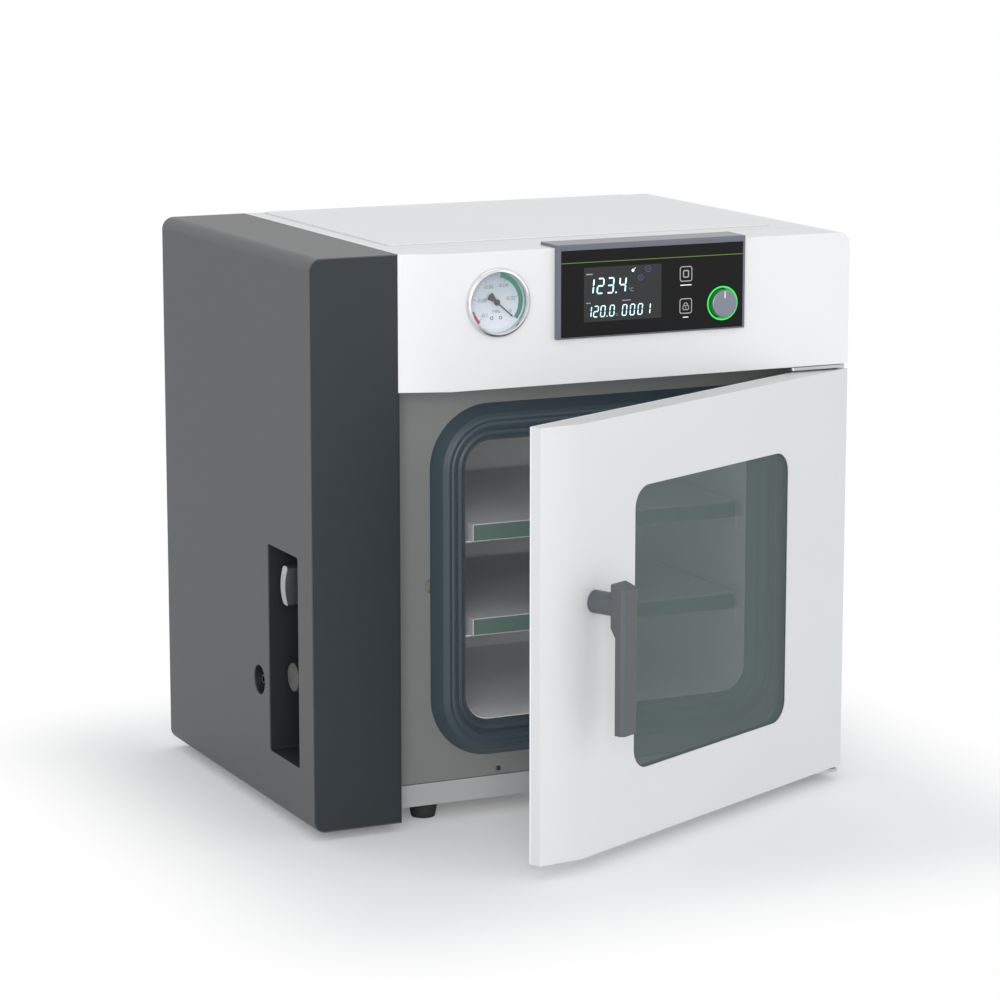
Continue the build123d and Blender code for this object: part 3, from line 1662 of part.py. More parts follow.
# Door skin: folded white case, with the blocks that hold the hinge bushes welded in.
with BuildPart() as door_skin:
    extrude(front_plan(door_z, door_left, door_right, liner_inside, 0), amount=door_height)
    extrude(
        front_plan(door_z + sheet, door_left, door_right, liner_inside, sheet),
        amount=door_height - 2 * sheet,
        mode=Mode.SUBTRACT,
    )
    for block_z in (door_z + sheet, door_top - hinge_bush_length - 2 * sheet):
        block(
            (hinge_x - hinge_block_size / 2, door_wall, block_z),
            (
                door_right - sheet,
                door_wall + hinge_block_size,
                block_z + hinge_bush_length + sheet,
            ),
        )
    rod((hinge_x, hinge_y, door_top), DOWN, bush_outer, hinge_bush_length, Mode.SUBTRACT)
    rod((hinge_x, hinge_y, door_z), UP, bush_outer, hinge_bush_length, Mode.SUBTRACT)
    pin_way = hinge_pin_radius + moving_gap
    rod((hinge_x, hinge_y, door_top), DOWN, pin_way, hinge_pin_engagement + 2, Mode.SUBTRACT)
    rod((hinge_x, hinge_y, door_z), UP, pin_way, hinge_pin_engagement + 2, Mode.SUBTRACT)
    extrude(
        rounded_window(
            door_front, window_centre_x, window_z, window_width, window_height, window_corner
        ),
        amount=-sheet,
        mode=Mode.SUBTRACT,
    )
    rod((stem_x, door_front, stem_z), BACK, bush_radius, sheet, Mode.SUBTRACT)
save_on_door(door_skin, "door_skin")

inner_pane_width = chamber_width + 2 * inner_pane_side_overlap
inner_pane_height = chamber_height + 2 * inner_pane_level_overlap
inner_pane_z = chamber_mid_z
inner_pane_back = door_back + pane_proud
inner_pane_x = chamber_shift
inner_pane_front = inner_pane_back - inner_pane_thickness
pane_step_y = inner_pane_back - inner_pane_nose - pane_proud
stepped_width = inner_pane_width + 2 * inner_pane_step
stepped_height = inner_pane_height + 2 * inner_pane_step
slot_low = finger_z - moving_gap
slot_high = finger_z + finger_height + barb_height + latch_lift + moving_gap

# Door liner: back pan of the door, open for the inner pane and the latch finger.
with BuildPart() as door_liner:
    block(
        (door_left + sheet, liner_inside, door_z + sheet),
        (door_right - sheet, door_back, door_top - sheet),
    )
    block((door_left, liner_inside, door_z), (door_right, door_back, door_top))
    extrude(
        rounded_window(
            liner_inside,
            inner_pane_x,
            inner_pane_z,
            inner_pane_width + 2 * moving_gap,
            inner_pane_height + 2 * moving_gap,
            inner_pane_corner,
        ),
        amount=-frame_sheet,
        mode=Mode.SUBTRACT,
    )
    block(
        (finger_x - finger_slot_width / 2, liner_inside, slot_low),
        (finger_x + finger_slot_width / 2, door_back, slot_high),
        Mode.SUBTRACT,
    )
save_on_door(door_liner, "door_liner")

# Outer window: tinted pane behind the skin's opening.
pane_back = door_wall + window_pane

with BuildPart() as door_window:
    extrude(
        rounded_window(door_wall, pane_x, window_z, pane_width, pane_height, window_corner),
        amount=-window_pane,
    )
save_on_door(door_window, "door_window")

# Window frame: clamps the outer pane and carries the sleeve back to the inner pane.
sleeve_width = window_width - 2 * sleeve_overlap + 2 * window_pane_overlap
sleeve_height = window_height - 2 * sleeve_overlap + 2 * window_pane_overlap

with BuildPart() as window_frame:
    extrude(
        rounded_window(
            door_wall,
            pane_x,
            window_z,
            pane_width + 2 * window_frame_width,
            pane_height + 2 * window_frame_width,
            window_corner + window_frame_width,
        ),
        amount=-window_frame_depth,
    )
    extrude(
        rounded_window(
            pane_back, pane_x, window_z, sleeve_width, sleeve_height, window_corner
        ),
        amount=-(inner_pane_front - pane_back),
    )
    extrude(
        rounded_window(door_wall, pane_x, window_z, pane_width, pane_height, window_corner),
        amount=-window_pane,
        mode=Mode.SUBTRACT,
    )
    extrude(
        rounded_window(
            pane_back,
            pane_x,
            window_z,
            sleeve_width - 2 * clip_sheet,
            sleeve_height - 2 * clip_sheet,
            window_corner - clip_sheet,
        ),
        amount=-(inner_pane_front - pane_back),
        mode=Mode.SUBTRACT,
    )
save_on_door(window_frame, "window_frame")

# Inner pane: thick tempered glass with a stepped edge, its nose through the liner.
with BuildPart() as door_glass:
    extrude(
        rounded_window(
            inner_pane_front,
            inner_pane_x,
            inner_pane_z,
            stepped_width,
            stepped_height,
            inner_pane_corner + inner_pane_step,
        ),
        amount=-(pane_step_y - inner_pane_front),
    )
    extrude(
        rounded_window(
            pane_step_y,
            inner_pane_x,
            inner_pane_z,
            inner_pane_width,
            inner_pane_height,
            inner_pane_corner,
        ),
        amount=-(inner_pane_back - pane_step_y),
    )
save_on_door(door_glass, "door_glass")

# Pane gasket: flat silicone ring between the pane's step and the liner.
with BuildPart() as pane_gasket:
    extrude(
        rounded_window(
            pane_step_y,
            inner_pane_x,
            inner_pane_z,
            stepped_width,
            stepped_height,
            inner_pane_corner + inner_pane_step,
        ),
        amount=-(liner_inside - pane_step_y),
    )
    extrude(
        rounded_window(
            pane_step_y,
            inner_pane_x,
            inner_pane_z,
            inner_pane_width + 2 * moving_gap,
            inner_pane_height + 2 * moving_gap,
            inner_pane_corner,
        ),
        amount=-(liner_inside - pane_step_y),
        mode=Mode.SUBTRACT,
    )
save_on_door(pane_gasket, "pane_gasket")


def clip(edge_plane):
    """Z-shaped clip from the liner over a pane's edge. The plane's origin is on the liner at
    the edge, its x axis points away from the pane and its y axis to the door's front."""
    rise = liner_inside - inner_pane_front
    with BuildSketch(edge_plane) as section:
        with BuildLine():
            Polyline(
                (clip_foot, 0),
                (clip_foot, clip_sheet),
                (moving_gap + clip_sheet, clip_sheet),
                (moving_gap + clip_sheet, rise + clip_sheet),
                (-clip_tongue, rise + clip_sheet),
                (-clip_tongue, rise),
                (moving_gap, rise),
                (moving_gap, 0),
                close=True,
            )
        make_face()
    extrude(section.sketch, amount=clip_width / 2, both=True)


# Glass clips: two along each edge of the inner pane.
half_width = stepped_width / 2
half_height = stepped_height / 2

with BuildPart() as glass_clips:
    for share in (-0.5, 0.5):
        along_z = inner_pane_z + share * 1.5 * half_height
        along_x = inner_pane_x + share * half_width
        left_edge = (inner_pane_x - half_width, liner_inside, along_z)
        right_edge = (inner_pane_x + half_width, liner_inside, along_z)
        top_edge = (along_x, liner_inside, inner_pane_z + half_height)
        bottom_edge = (along_x, liner_inside, inner_pane_z - half_height)
        clip(Plane(origin=left_edge, x_dir=LEFT, z_dir=UP))
        clip(Plane(origin=right_edge, x_dir=RIGHT, z_dir=DOWN))
        clip(Plane(origin=top_edge, x_dir=UP, z_dir=RIGHT))
        clip(Plane(origin=bottom_edge, x_dir=DOWN, z_dir=LEFT))
save_on_door(glass_clips, "glass_clips")

# ---------------------------------------------------------------- handle and latch
hook_back = inner_pane_front - clip_sheet - hook_gap_from_pane
hook_front = hook_back - hook_plate
shaft_end = hook_front - moving_gap
stem_back = door_front - moving_gap
handle_back = door_front - stem_length
handle_front = handle_back - handle_thickness
crank_radius = latch_lift / sqrt(2)
groove_y = door_front + bush_length + moving_gap

# Handle stem: round shank with the shaft and the eccentric pin that lifts the hook.
with BuildPart() as handle_stem:
    rod((stem_x, handle_back, stem_z), BACK, stem_radius, stem_back - handle_back)
    rod((stem_x, stem_back, stem_z), BACK, stem_shaft_radius, shaft_end - stem_back)
    crank_x = stem_x + crank_radius * cos(radians(-45))
    crank_z = stem_z + crank_radius * sin(radians(-45))
    rod((crank_x, shaft_end, crank_z), BACK, crank_pin_radius, hook_back - shaft_end)
    with BuildSketch(Plane(origin=(stem_x, groove_y, stem_z), x_dir=RIGHT, z_dir=FRONT)):
        Circle(stem_shaft_radius)
        Circle(stem_shaft_radius - groove_depth, mode=Mode.SUBTRACT)
    extrude(amount=-circlip_thickness, mode=Mode.SUBTRACT)
save_on_door(handle_stem, "handle_stem")

# Handle bar: lever hanging from the stem, with chamfered front edges.
with BuildPart() as handle_bar:
    with BuildSketch(Plane.YZ.offset(stem_x - handle_width / 2)):
        with BuildLine():
            Polyline(
                (handle_back, stem_z + handle_rise_back),
                (handle_front, stem_z + handle_rise_front),
                (handle_front, stem_z - handle_drop),
                (handle_front + handle_lower_thickness, stem_z - handle_drop),
                (handle_front + handle_lower_thickness, stem_z - handle_taper_end),
                (handle_back, stem_z - handle_taper_start),
                close=True,
            )
        make_face()
    extrude(amount=handle_width)
    front_edges = handle_bar.faces().sort_by(Axis.Y)[0].edges().filter_by(Axis.Z)
    chamfer(front_edges, handle_chamfer)
save_on_door(handle_bar, "handle_bar")

# Stem bush: flanged bearing for the shaft in the door's front wall.
with BuildPart() as stem_bush:
    rod((stem_x, door_front, stem_z), BACK, bush_radius, bush_length)
    rod((stem_x, door_wall, stem_z), BACK, bush_flange_radius, bush_flange)
    rod(
        (stem_x, door_front, stem_z),
        BACK,
        stem_shaft_radius + running_gap,
        bush_length,
        Mode.SUBTRACT,
    )
save_on_door(stem_bush, "stem_bush")

# Stem circlip: retaining ring in the shaft's groove behind the bush.
with BuildPart() as stem_circlip:
    with BuildSketch(Plane(origin=(stem_x, groove_y, stem_z), x_dir=RIGHT, z_dir=FRONT)):
        Circle(circlip_radius)
        Circle(stem_shaft_radius - groove_depth, mode=Mode.SUBTRACT)
        with Locations((0, -circlip_radius)):
            Rectangle(stem_shaft_radius, 2 * circlip_radius, mode=Mode.SUBTRACT)
    extrude(amount=-circlip_thickness)
save_on_door(stem_circlip, "stem_circlip")

# Latch hook: sliding plate with the cam slot, two guide slots and the barbed finger.
guide_x = stem_x - guide_offset_x
guide_zs = (stem_z + guide_rise, stem_z - guide_drop)
guide_slot_radius = guide_pin_radius + guide_play
finger_tip = frame_back + keeper_sheet + moving_gap + barb_length
cam_slot_height = 2 * (crank_pin_radius + crank_pin_play)
cam_slot_left = stem_x + crank_radius * cos(radians(45)) - cam_slot_height / 2
cam_slot_right = stem_x + crank_radius + cam_slot_height / 2

with BuildPart() as latch_hook:
    block(
        (stem_x - hook_left, hook_front, stem_z - hook_below),
        (stem_x + hook_right, hook_back, stem_z + hook_above),
    )
    fillet(latch_hook.edges().filter_by(Axis.Y), 3.0)
    with BuildSketch(facing_front(hook_front)):
        with Locations(((cam_slot_left + cam_slot_right) / 2, crank_z)):
            SlotOverall(cam_slot_right - cam_slot_left, cam_slot_height)
        for guide_z in guide_zs:
            with Locations((guide_x, guide_z - latch_lift / 2)):
                SlotOverall(latch_lift + 2 * guide_slot_radius, 2 * guide_slot_radius, rotation=90)
    extrude(amount=-hook_plate, mode=Mode.SUBTRACT)
    block(
        (finger_x - finger_width / 2, hook_front, finger_z),
        (finger_x + finger_width / 2, finger_tip, finger_z + finger_height),
    )
    block(
        (
            finger_x - finger_width / 2,
            finger_tip - barb_length,
            finger_z + finger_height,
        ),
        (finger_x + finger_width / 2, finger_tip, finger_z + finger_height + barb_height),
    )
    barb_edge = latch_hook.edges().filter_by(Axis.X).sort_by(Axis.Y)[-2:].sort_by(Axis.Z)[-1]
    chamfer(barb_edge, barb_height * 0.7)
save_on_door(latch_hook, "latch_hook")

# Latch guides: shouldered pins on the door's front wall that the hook slides along.
with BuildPart() as latch_guides:
    for guide_z in guide_zs:
        shoulder = hook_front - guide_play - door_wall
        rod((guide_x, door_wall, guide_z), BACK, guide_head_radius, shoulder)
        rod(
            (guide_x, hook_front - guide_play, guide_z),
            BACK,
            guide_pin_radius,
            hook_plate + 2 * guide_play,
        )
        rod((guide_x, hook_back + guide_play, guide_z), BACK, guide_head_radius, guide_head)
save_on_door(latch_guides, "latch_guides")

# ---------------------------------------------------------------- screws
# Panel screws: small ones in the front frame, larger in the hinge plates and the rear panel.
screw_places = [
    ((x, frame_front, frame_screw_z), FRONT, frame_screw_head_radius) for x in frame_screw_xs
]
for x in hinge_screw_xs:
    for z in (upper_hinge_screw_z, lower_hinge_screw_z):
        screw_places.append(((x, frame_front - hinge_plate, z), FRONT, screw_head_radius))
for x, z in rear_screw_places:
    screw_places.append(((x, rear_y, z), BACK, screw_head_radius))

with BuildPart() as panel_screws:
    for place, outward, head_radius in screw_places:
        inward = BACK if outward is FRONT else FRONT
        rod(place, outward, head_radius, screw_head)
        rod(place, inward, screw_radius, screw_length)
save(panel_screws, "panel_screws")
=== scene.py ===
"""Vacuum oven: finishes, printed faces, fine detail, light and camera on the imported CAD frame."""

import logging
import math
from dataclasses import dataclass, field
from enum import Enum
from typing import Sequence

import bmesh
import bpy
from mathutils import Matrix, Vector

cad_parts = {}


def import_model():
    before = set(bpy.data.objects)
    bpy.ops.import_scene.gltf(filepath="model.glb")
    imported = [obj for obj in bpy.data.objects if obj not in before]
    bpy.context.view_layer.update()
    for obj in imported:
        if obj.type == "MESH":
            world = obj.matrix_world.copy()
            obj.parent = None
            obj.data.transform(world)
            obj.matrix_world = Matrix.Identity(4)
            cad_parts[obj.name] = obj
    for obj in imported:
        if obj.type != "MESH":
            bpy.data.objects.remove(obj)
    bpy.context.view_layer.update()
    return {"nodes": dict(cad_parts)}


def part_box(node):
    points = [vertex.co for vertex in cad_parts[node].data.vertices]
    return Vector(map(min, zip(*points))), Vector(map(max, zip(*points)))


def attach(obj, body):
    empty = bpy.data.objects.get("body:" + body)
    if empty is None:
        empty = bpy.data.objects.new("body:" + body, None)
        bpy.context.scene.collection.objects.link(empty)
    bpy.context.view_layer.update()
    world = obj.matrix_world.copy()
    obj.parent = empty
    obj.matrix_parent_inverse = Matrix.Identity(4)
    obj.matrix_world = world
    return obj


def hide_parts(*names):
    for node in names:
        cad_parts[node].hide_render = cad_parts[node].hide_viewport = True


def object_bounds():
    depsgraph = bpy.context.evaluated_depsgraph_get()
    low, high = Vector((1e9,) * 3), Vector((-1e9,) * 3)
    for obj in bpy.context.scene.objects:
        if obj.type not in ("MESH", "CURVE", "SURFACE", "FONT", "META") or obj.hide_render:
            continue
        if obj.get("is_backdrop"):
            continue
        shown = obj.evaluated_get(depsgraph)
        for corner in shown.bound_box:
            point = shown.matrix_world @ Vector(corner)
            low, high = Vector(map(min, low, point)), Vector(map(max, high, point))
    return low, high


LOG = logging.getLogger("scene")
MM = 0.001

Colour = tuple[float, float, float]
Point2 = tuple[float, float]
Point3 = tuple[float, float, float]
Edges = tuple[float, float, float, float]

WELD_REACH = 2e-6
FLAT_ANGLE = math.radians(0.3)
SHARP_ANGLE = math.radians(40)


class Body(Enum):
    """CAD bodies that added pieces ride on."""

    CABINET = "cabinet"
    DIAL = "dial"
    UPPER_SHELF = "shelf_above"
    LOWER_SHELF = "shelf_below"


# ------------------------------------------------------------------ materials
class Graph:
    """A material's node tree with one Principled shader at its end."""

    def __init__(self, name: str) -> None:
        """Starts a material with that name and a bare shader."""
        self.material = bpy.data.materials.new(name)
        self.material.use_nodes = True
        self.tree = self.material.node_tree
        self.tree.nodes.clear()
        self.output = self.tree.nodes.new("ShaderNodeOutputMaterial")
        self.shader = self.tree.nodes.new("ShaderNodeBsdfPrincipled")
        self.link(self.shader, "BSDF", self.output, "Surface")
        self._coords = None

    def node(self, kind: str, **values: object) -> bpy.types.Node:
        """Adds a node and sets its attributes, or its inputs where the name is an input.

        Args:
            kind: Node type name without the ShaderNode prefix.
            **values: Attribute or input values; underscores in input names mean spaces.

        Returns:
            The new node.
        """
        node = self.tree.nodes.new("ShaderNode" + kind)
        for key, value in values.items():
            if hasattr(node, key):
                setattr(node, key, value)
            else:
                node.inputs[key.replace("_", " ")].default_value = value
        return node

    def link(self, a: bpy.types.Node, out: str | int, b: bpy.types.Node, into: str | int) -> None:
        """Links an output of node a to an input of node b."""
        self.tree.links.new(a.outputs[out], b.inputs[into])

    def set(self, **values: object) -> None:
        """Sets constants on the Principled shader."""
        for key, value in values.items():
            self.shader.inputs[key.replace("_", " ")].default_value = value

    def coords(self, scale: Sequence[float] = (1, 1, 1)) -> bpy.types.Node:
        """Object coordinates through a mapping with the given scale."""
        if self._coords is None:
            self._coords = self.tree.nodes.new("ShaderNodeTexCoord")
        mapping = self.node("Mapping")
        mapping.inputs["Scale"].default_value = scale
        self.link(self._coords, "Object", mapping, "Vector")
        return mapping

    def noise(
        self, size_mm: float, detail: float = 2.0, stretch: Sequence[float] = (1, 1, 1)
    ) -> bpy.types.Node:
        """Noise whose features are about size_mm across.

        Args:
            size_mm: Feature size in millimetres.
            detail: Octaves of detail.
            stretch: Multiplies the frequency along each axis.

        Returns:
            The noise texture node.
        """
        mapping = self.coords(stretch)
        noise = self.node("TexNoise", Scale=1000.0 / size_mm, Detail=detail, Roughness=0.55)
        self.link(mapping, "Vector", noise, "Vector")
        return noise

    def rough(self, source: bpy.types.Node, low: float, high: float) -> None:
        """Feeds the roughness with a noise's value, mapped to the range low to high."""
        ramp = self.node("MapRange")
        ramp.inputs["To Min"].default_value = low
        ramp.inputs["To Max"].default_value = high
        self.link(source, "Fac", ramp, "Value")
        self.link(ramp, "Result", self.shader, "Roughness")

    def tint(self, source: bpy.types.Node, out: str, a: Colour, b: Colour) -> None:
        """Mixes two colours by a 0 to 1 value and feeds the base colour."""
        mix = self.node("Mix", data_type="RGBA")
        mix.inputs[6].default_value = (*a, 1)
        mix.inputs[7].default_value = (*b, 1)
        self.link(source, out, mix, 0)
        self.tree.links.new(mix.outputs[2], self.shader.inputs["Base Color"])

    def bump(self, source: bpy.types.Node, out: str, depth_mm: float, strength: float) -> None:
        """Adds a bump of the given depth to the shader's normal."""
        bump = self.node("Bump", Strength=strength, Distance=depth_mm * MM)
        self.link(source, out, bump, "Height")
        self.link(bump, "Normal", self.shader, "Normal")


def shade(colour: Colour, factor: float) -> Colour:
    """The colour made lighter or darker."""
    return tuple(min(1.0, channel * factor) for channel in colour)


@dataclass(frozen=True)
class PowderCoat:
    """Sprayed and baked paint with a fine orange-peel surface."""

    name: str
    colour: Colour
    roughness: float = 0.42
    peel_mm: float = 1.1
    peel_depth_mm: float = 0.02
    variation: float = 0.04

    def build(self) -> bpy.types.Material:
        """Returns the Blender material."""
        graph = Graph(self.name)
        cloud = graph.noise(160.0, 3.0)
        graph.tint(cloud, "Fac", shade(self.colour, 1 - self.variation), self.colour)
        peel = graph.noise(self.peel_mm, 2.0)
        graph.rough(peel, self.roughness - 0.05, self.roughness + 0.07)
        graph.bump(peel, "Fac", self.peel_depth_mm, 0.35)
        graph.set(Coat_Weight=0.08, Coat_Roughness=0.25)
        return graph.material


@dataclass(frozen=True)
class BrushedMetal:
    """Metal with fine parallel brush lines along one axis."""

    name: str
    colour: Colour
    roughness: float = 0.3
    line_mm: float = 0.5
    along: tuple[float, float, float] = (0.02, 1, 1)
    variation: float = 0.12
    metallic: float = 1.0

    def build(self) -> bpy.types.Material:
        """Returns the Blender material."""
        graph = Graph(self.name)
        lines = graph.noise(self.line_mm, 4.0, self.along)
        graph.tint(lines, "Fac", shade(self.colour, 1 - self.variation), shade(self.colour, 1.06))
        graph.rough(lines, self.roughness - 0.07, self.roughness + 0.1)
        graph.bump(lines, "Fac", 0.01, 0.18)
        graph.set(Metallic=self.metallic)
        return graph.material


@dataclass(frozen=True)
class PolishedMetal:
    """Plated or turned metal with faint smudges."""

    name: str
    colour: Colour
    roughness: float = 0.12

    def build(self) -> bpy.types.Material:
        """Returns the Blender material."""
        graph = Graph(self.name)
        smudge = graph.noise(9.0, 4.0)
        graph.tint(smudge, "Fac", shade(self.colour, 0.93), self.colour)
        graph.rough(smudge, self.roughness, self.roughness + 0.12)
        graph.set(Metallic=1.0)
        return graph.material


@dataclass(frozen=True)
class Moulded:
    """Moulded plastic or rubber with a fine spark-eroded grain."""

    name: str
    colour: Colour
    roughness: float = 0.5
    grain_mm: float = 0.35
    grain_depth_mm: float = 0.01
    variation: float = 0.08
    sheen: float = 0.0
    coat: float = 0.0

    def build(self) -> bpy.types.Material:
        """Returns the Blender material."""
        graph = Graph(self.name)
        cloud = graph.noise(40.0, 3.0)
        graph.tint(cloud, "Fac", shade(self.colour, 1 - self.variation), shade(self.colour, 1.05))
        grain = graph.noise(self.grain_mm, 2.0)
        graph.rough(grain, self.roughness - 0.05, self.roughness + 0.08)
        graph.bump(grain, "Fac", self.grain_depth_mm, 0.3)
        graph.set(Sheen_Weight=self.sheen, Coat_Weight=self.coat, Coat_Roughness=0.15)
        return graph.material


@dataclass(frozen=True)
class Wool:
    """Fibrous mineral wool."""

    name: str
    colour: Colour

    def build(self) -> bpy.types.Material:
        """Returns the Blender material."""
        graph = Graph(self.name)
        fibres = graph.noise(3.0, 8.0, (1, 1, 4))
        graph.tint(fibres, "Fac", shade(self.colour, 0.6), shade(self.colour, 1.15))
        graph.bump(fibres, "Fac", 1.2, 0.8)
        graph.set(Roughness=0.95, Sheen_Weight=0.3)
        return graph.material


@dataclass(frozen=True)
class Glazing:
    """Thin pane: clear or tinted, with a glossy surface and no bending of light."""

    name: str
    colour: Colour
    alpha: float

    def build(self) -> bpy.types.Material:
        """Returns the Blender material."""
        graph = Graph(self.name)
        smear = graph.noise(70.0, 2.0)
        graph.tint(smear, "Fac", shade(self.colour, 0.96), self.colour)
        graph.rough(smear, 0.03, 0.07)
        graph.set(Alpha=self.alpha, IOR=1.45)
        return graph.material


@dataclass(frozen=True)
class BlackGlass:
    """Touch glass printed black behind."""

    name: str
    colour: Colour

    def build(self) -> bpy.types.Material:
        """Returns the Blender material."""
        graph = Graph(self.name)
        smear = graph.noise(30.0, 4.0)
        graph.tint(smear, "Fac", self.colour, shade(self.colour, 1.15))
        graph.rough(smear, 0.3, 0.4)
        graph.set(Specular_IOR_Level=0.15)
        return graph.material


@dataclass(frozen=True)
class Ink:
    """Printed ink, or a lit segment where it has a glow; on the white ink and the green line the
    glow is painted light.
    """

    name: str
    colour: Colour
    glow: float = 0.0

    def build(self) -> bpy.types.Material:
        """Returns the Blender material."""
        graph = Graph(self.name)
        speckle = graph.noise(0.6, 2.0)
        graph.tint(speckle, "Fac", shade(self.colour, 0.94), self.colour)
        graph.set(
            Roughness=0.45,
            Emission_Color=(*self.colour, 1),
            Emission_Strength=self.glow,
        )
        return graph.material


@dataclass(frozen=True)
class ShadedDialFace:
    """Gauge face: printed white card with painted shade, blue-grey towards the top and whiter
    below.
    """

    name: str
    # upper carries the painted shade at the top of the card; lower is the card's own white.
    upper: Colour
    lower: Colour
    centre_z: float
    radius: float

    def build(self) -> bpy.types.Material:
        """Returns the Blender material."""
        graph = Graph(self.name)
        coords = graph.tree.nodes.new("ShaderNodeTexCoord")
        split = graph.node("SeparateXYZ")
        graph.link(coords, "Object", split, "Vector")
        height = graph.node("MapRange")
        height.inputs["From Min"].default_value = self.centre_z - self.radius
        height.inputs["From Max"].default_value = self.centre_z + self.radius
        graph.link(split, "Z", height, "Value")
        # Painted shade: the card darkens from its bottom to its top.
        graph.tint(height, "Result", self.lower, self.upper)
        graph.set(Roughness=0.5)
        return graph.material


Finish = (
    PowderCoat
    | BrushedMetal
    | PolishedMetal
    | Moulded
    | Wool
    | Glazing
    | BlackGlass
    | Ink
    | ShadedDialFace
)

WHITE = PowderCoat("white_coat", (0.80, 0.80, 0.80))
DOOR_WHITE = PowderCoat("door_coat", (0.71, 0.715, 0.715))
COLUMN_GREY = PowderCoat("column_coat", (0.086, 0.088, 0.09), roughness=0.5, peel_depth_mm=0.03)
COLUMN_FRONT = PowderCoat("column_front_coat", (0.013, 0.019, 0.024), roughness=0.5)
FRAME_GREY = PowderCoat("frame_coat", (0.215, 0.222, 0.215), roughness=0.5)
# Sill: white body paint darkened to grey, which is painted shade.
SILL_WHITE_SHADED = PowderCoat("sill_painted_shade", (0.45, 0.46, 0.46), roughness=0.45)
ZINC = BrushedMetal("zinc_sheet", (0.5, 0.51, 0.52), 0.42, 6.0, (1, 1, 1), 0.25)
STAINLESS = BrushedMetal(
    "satin_stainless", (0.94, 0.94, 0.95), 0.42, 3.0, (1, 0.02, 1), 0.06, 0.2
)
SHELF = BrushedMetal("shelf_aluminium", (0.66, 0.67, 0.68), 0.38, 3.0, (0.02, 1, 1), 0.06, 0.15)
# Painted shade on the shelf lips, dark green-grey.
SHELF_LIP_SHADE = BrushedMetal("shelf_lip_painted_shade", (0.13, 0.21, 0.175), 0.35, 1.5, (0.02, 1, 1), 0.05, 0.2)
HINGE = BrushedMetal("hinge_steel", (0.62, 0.62, 0.62), 0.35, 0.4, (0.03, 1, 1))
BRASS = BrushedMetal("machined_brass", (0.62, 0.5, 0.28), 0.3, 0.4, (1, 1, 1))
VALVE_KNOB = BrushedMetal("knurled_steel", (0.13, 0.126, 0.12), 0.45, 0.5, (1, 1, 1))
PIPE = PolishedMetal("drawn_tube", (0.6, 0.6, 0.61), 0.22)
CHROME = PolishedMetal("rolled_chrome", (0.78, 0.78, 0.78), 0.1)
SCREW_STEEL = PolishedMetal("zinc_screw", (0.42, 0.42, 0.43), 0.25)
DARK_SCREW = PolishedMetal("dark_screw", (0.08, 0.08, 0.085), 0.3)
SEAL = Moulded("silicone_seal", (0.038, 0.062, 0.078), 0.42, 0.5, 0.008, 0.08, 0.1)
GASKET = Moulded("pane_silicone", (0.05, 0.055, 0.055), 0.5)
FOOT = Moulded("foot_rubber", (0.02, 0.02, 0.02), 0.6)
BLACK = Moulded("black_plastic", (0.018, 0.018, 0.019), 0.4)
LINER = Moulded("liner_plastic", (0.014, 0.017, 0.019), 0.5)
PADDLE = BrushedMetal("paddle_alloy", (0.5, 0.51, 0.52), 0.35, 0.6, (1, 1, 0.05))
HANDLE = PowderCoat("handle_coat", (0.09, 0.096, 0.104), 0.42, 0.8, 0.015)
STEM = PowderCoat("stem_coat", (0.09, 0.1, 0.11), 0.4, 0.8, 0.012)
BEZEL = Moulded("bezel_plastic", (0.125, 0.135, 0.165), 0.38, 0.4, 0.008, 0.05, 0.0, 0.2)
PANEL = BlackGlass("panel_glass", (0.007, 0.007, 0.0067))
KNOB = BrushedMetal("knob_alloy", (0.27, 0.28, 0.34), 0.34, 0.25, (1, 1, 0.02), 0.1)
HEATER = Moulded("heater_silicone", (0.5, 0.14, 0.05), 0.6, 1.5, 0.05)
BOARD = Moulded("solder_resist", (0.015, 0.12, 0.05), 0.35, 2.5, 0.02, 0.3)
WOOL = Wool("mineral_wool", (0.6, 0.57, 0.42))
TINTED = Glazing("tinted_pane", (0.125, 0.175, 0.16), 0.42)
CLEAR = Glazing("clear_pane", (0.2, 0.26, 0.24), 0.1)
LENS = Glazing("gauge_glass", (0.8, 0.82, 0.85), 0.05)
RING_LIGHT = Ink("ring_light", (0.03, 0.62, 0.08), 0.7)
SCREEN = Moulded("screen_film", (0.009, 0.011, 0.012), 0.5, 0.5, 0.001)
DIGIT = Ink("lit_digit", (0.55, 0.83, 0.9), 0.9)
CAPTION = Ink("lit_caption", (0.2, 0.27, 0.36), 0.35)
DIM_BLUE = Ink("dim_symbol", (0.06, 0.09, 0.18), 0.3)
GREY_INK = Ink("grey_ink", (0.42, 0.42, 0.43))
# White print and green line: their glow is painted light, with no lamp behind them.
WHITE_INK_PAINTED_GLOW = Ink("white_ink_painted_glow", (0.85, 0.85, 0.85), 0.15)
GREEN_LINE_PAINTED_GLOW = Ink("green_line_painted_glow", (0.1, 0.22, 0.015), 0.1)
GREEN_ARC = Ink("green_arc", (0.0, 0.235, 0.155))
RED_ARC = Ink("red_arc", (0.5, 0.03, 0.09))
DIAL_INK = Ink("dial_ink", (0.13, 0.15, 0.17))

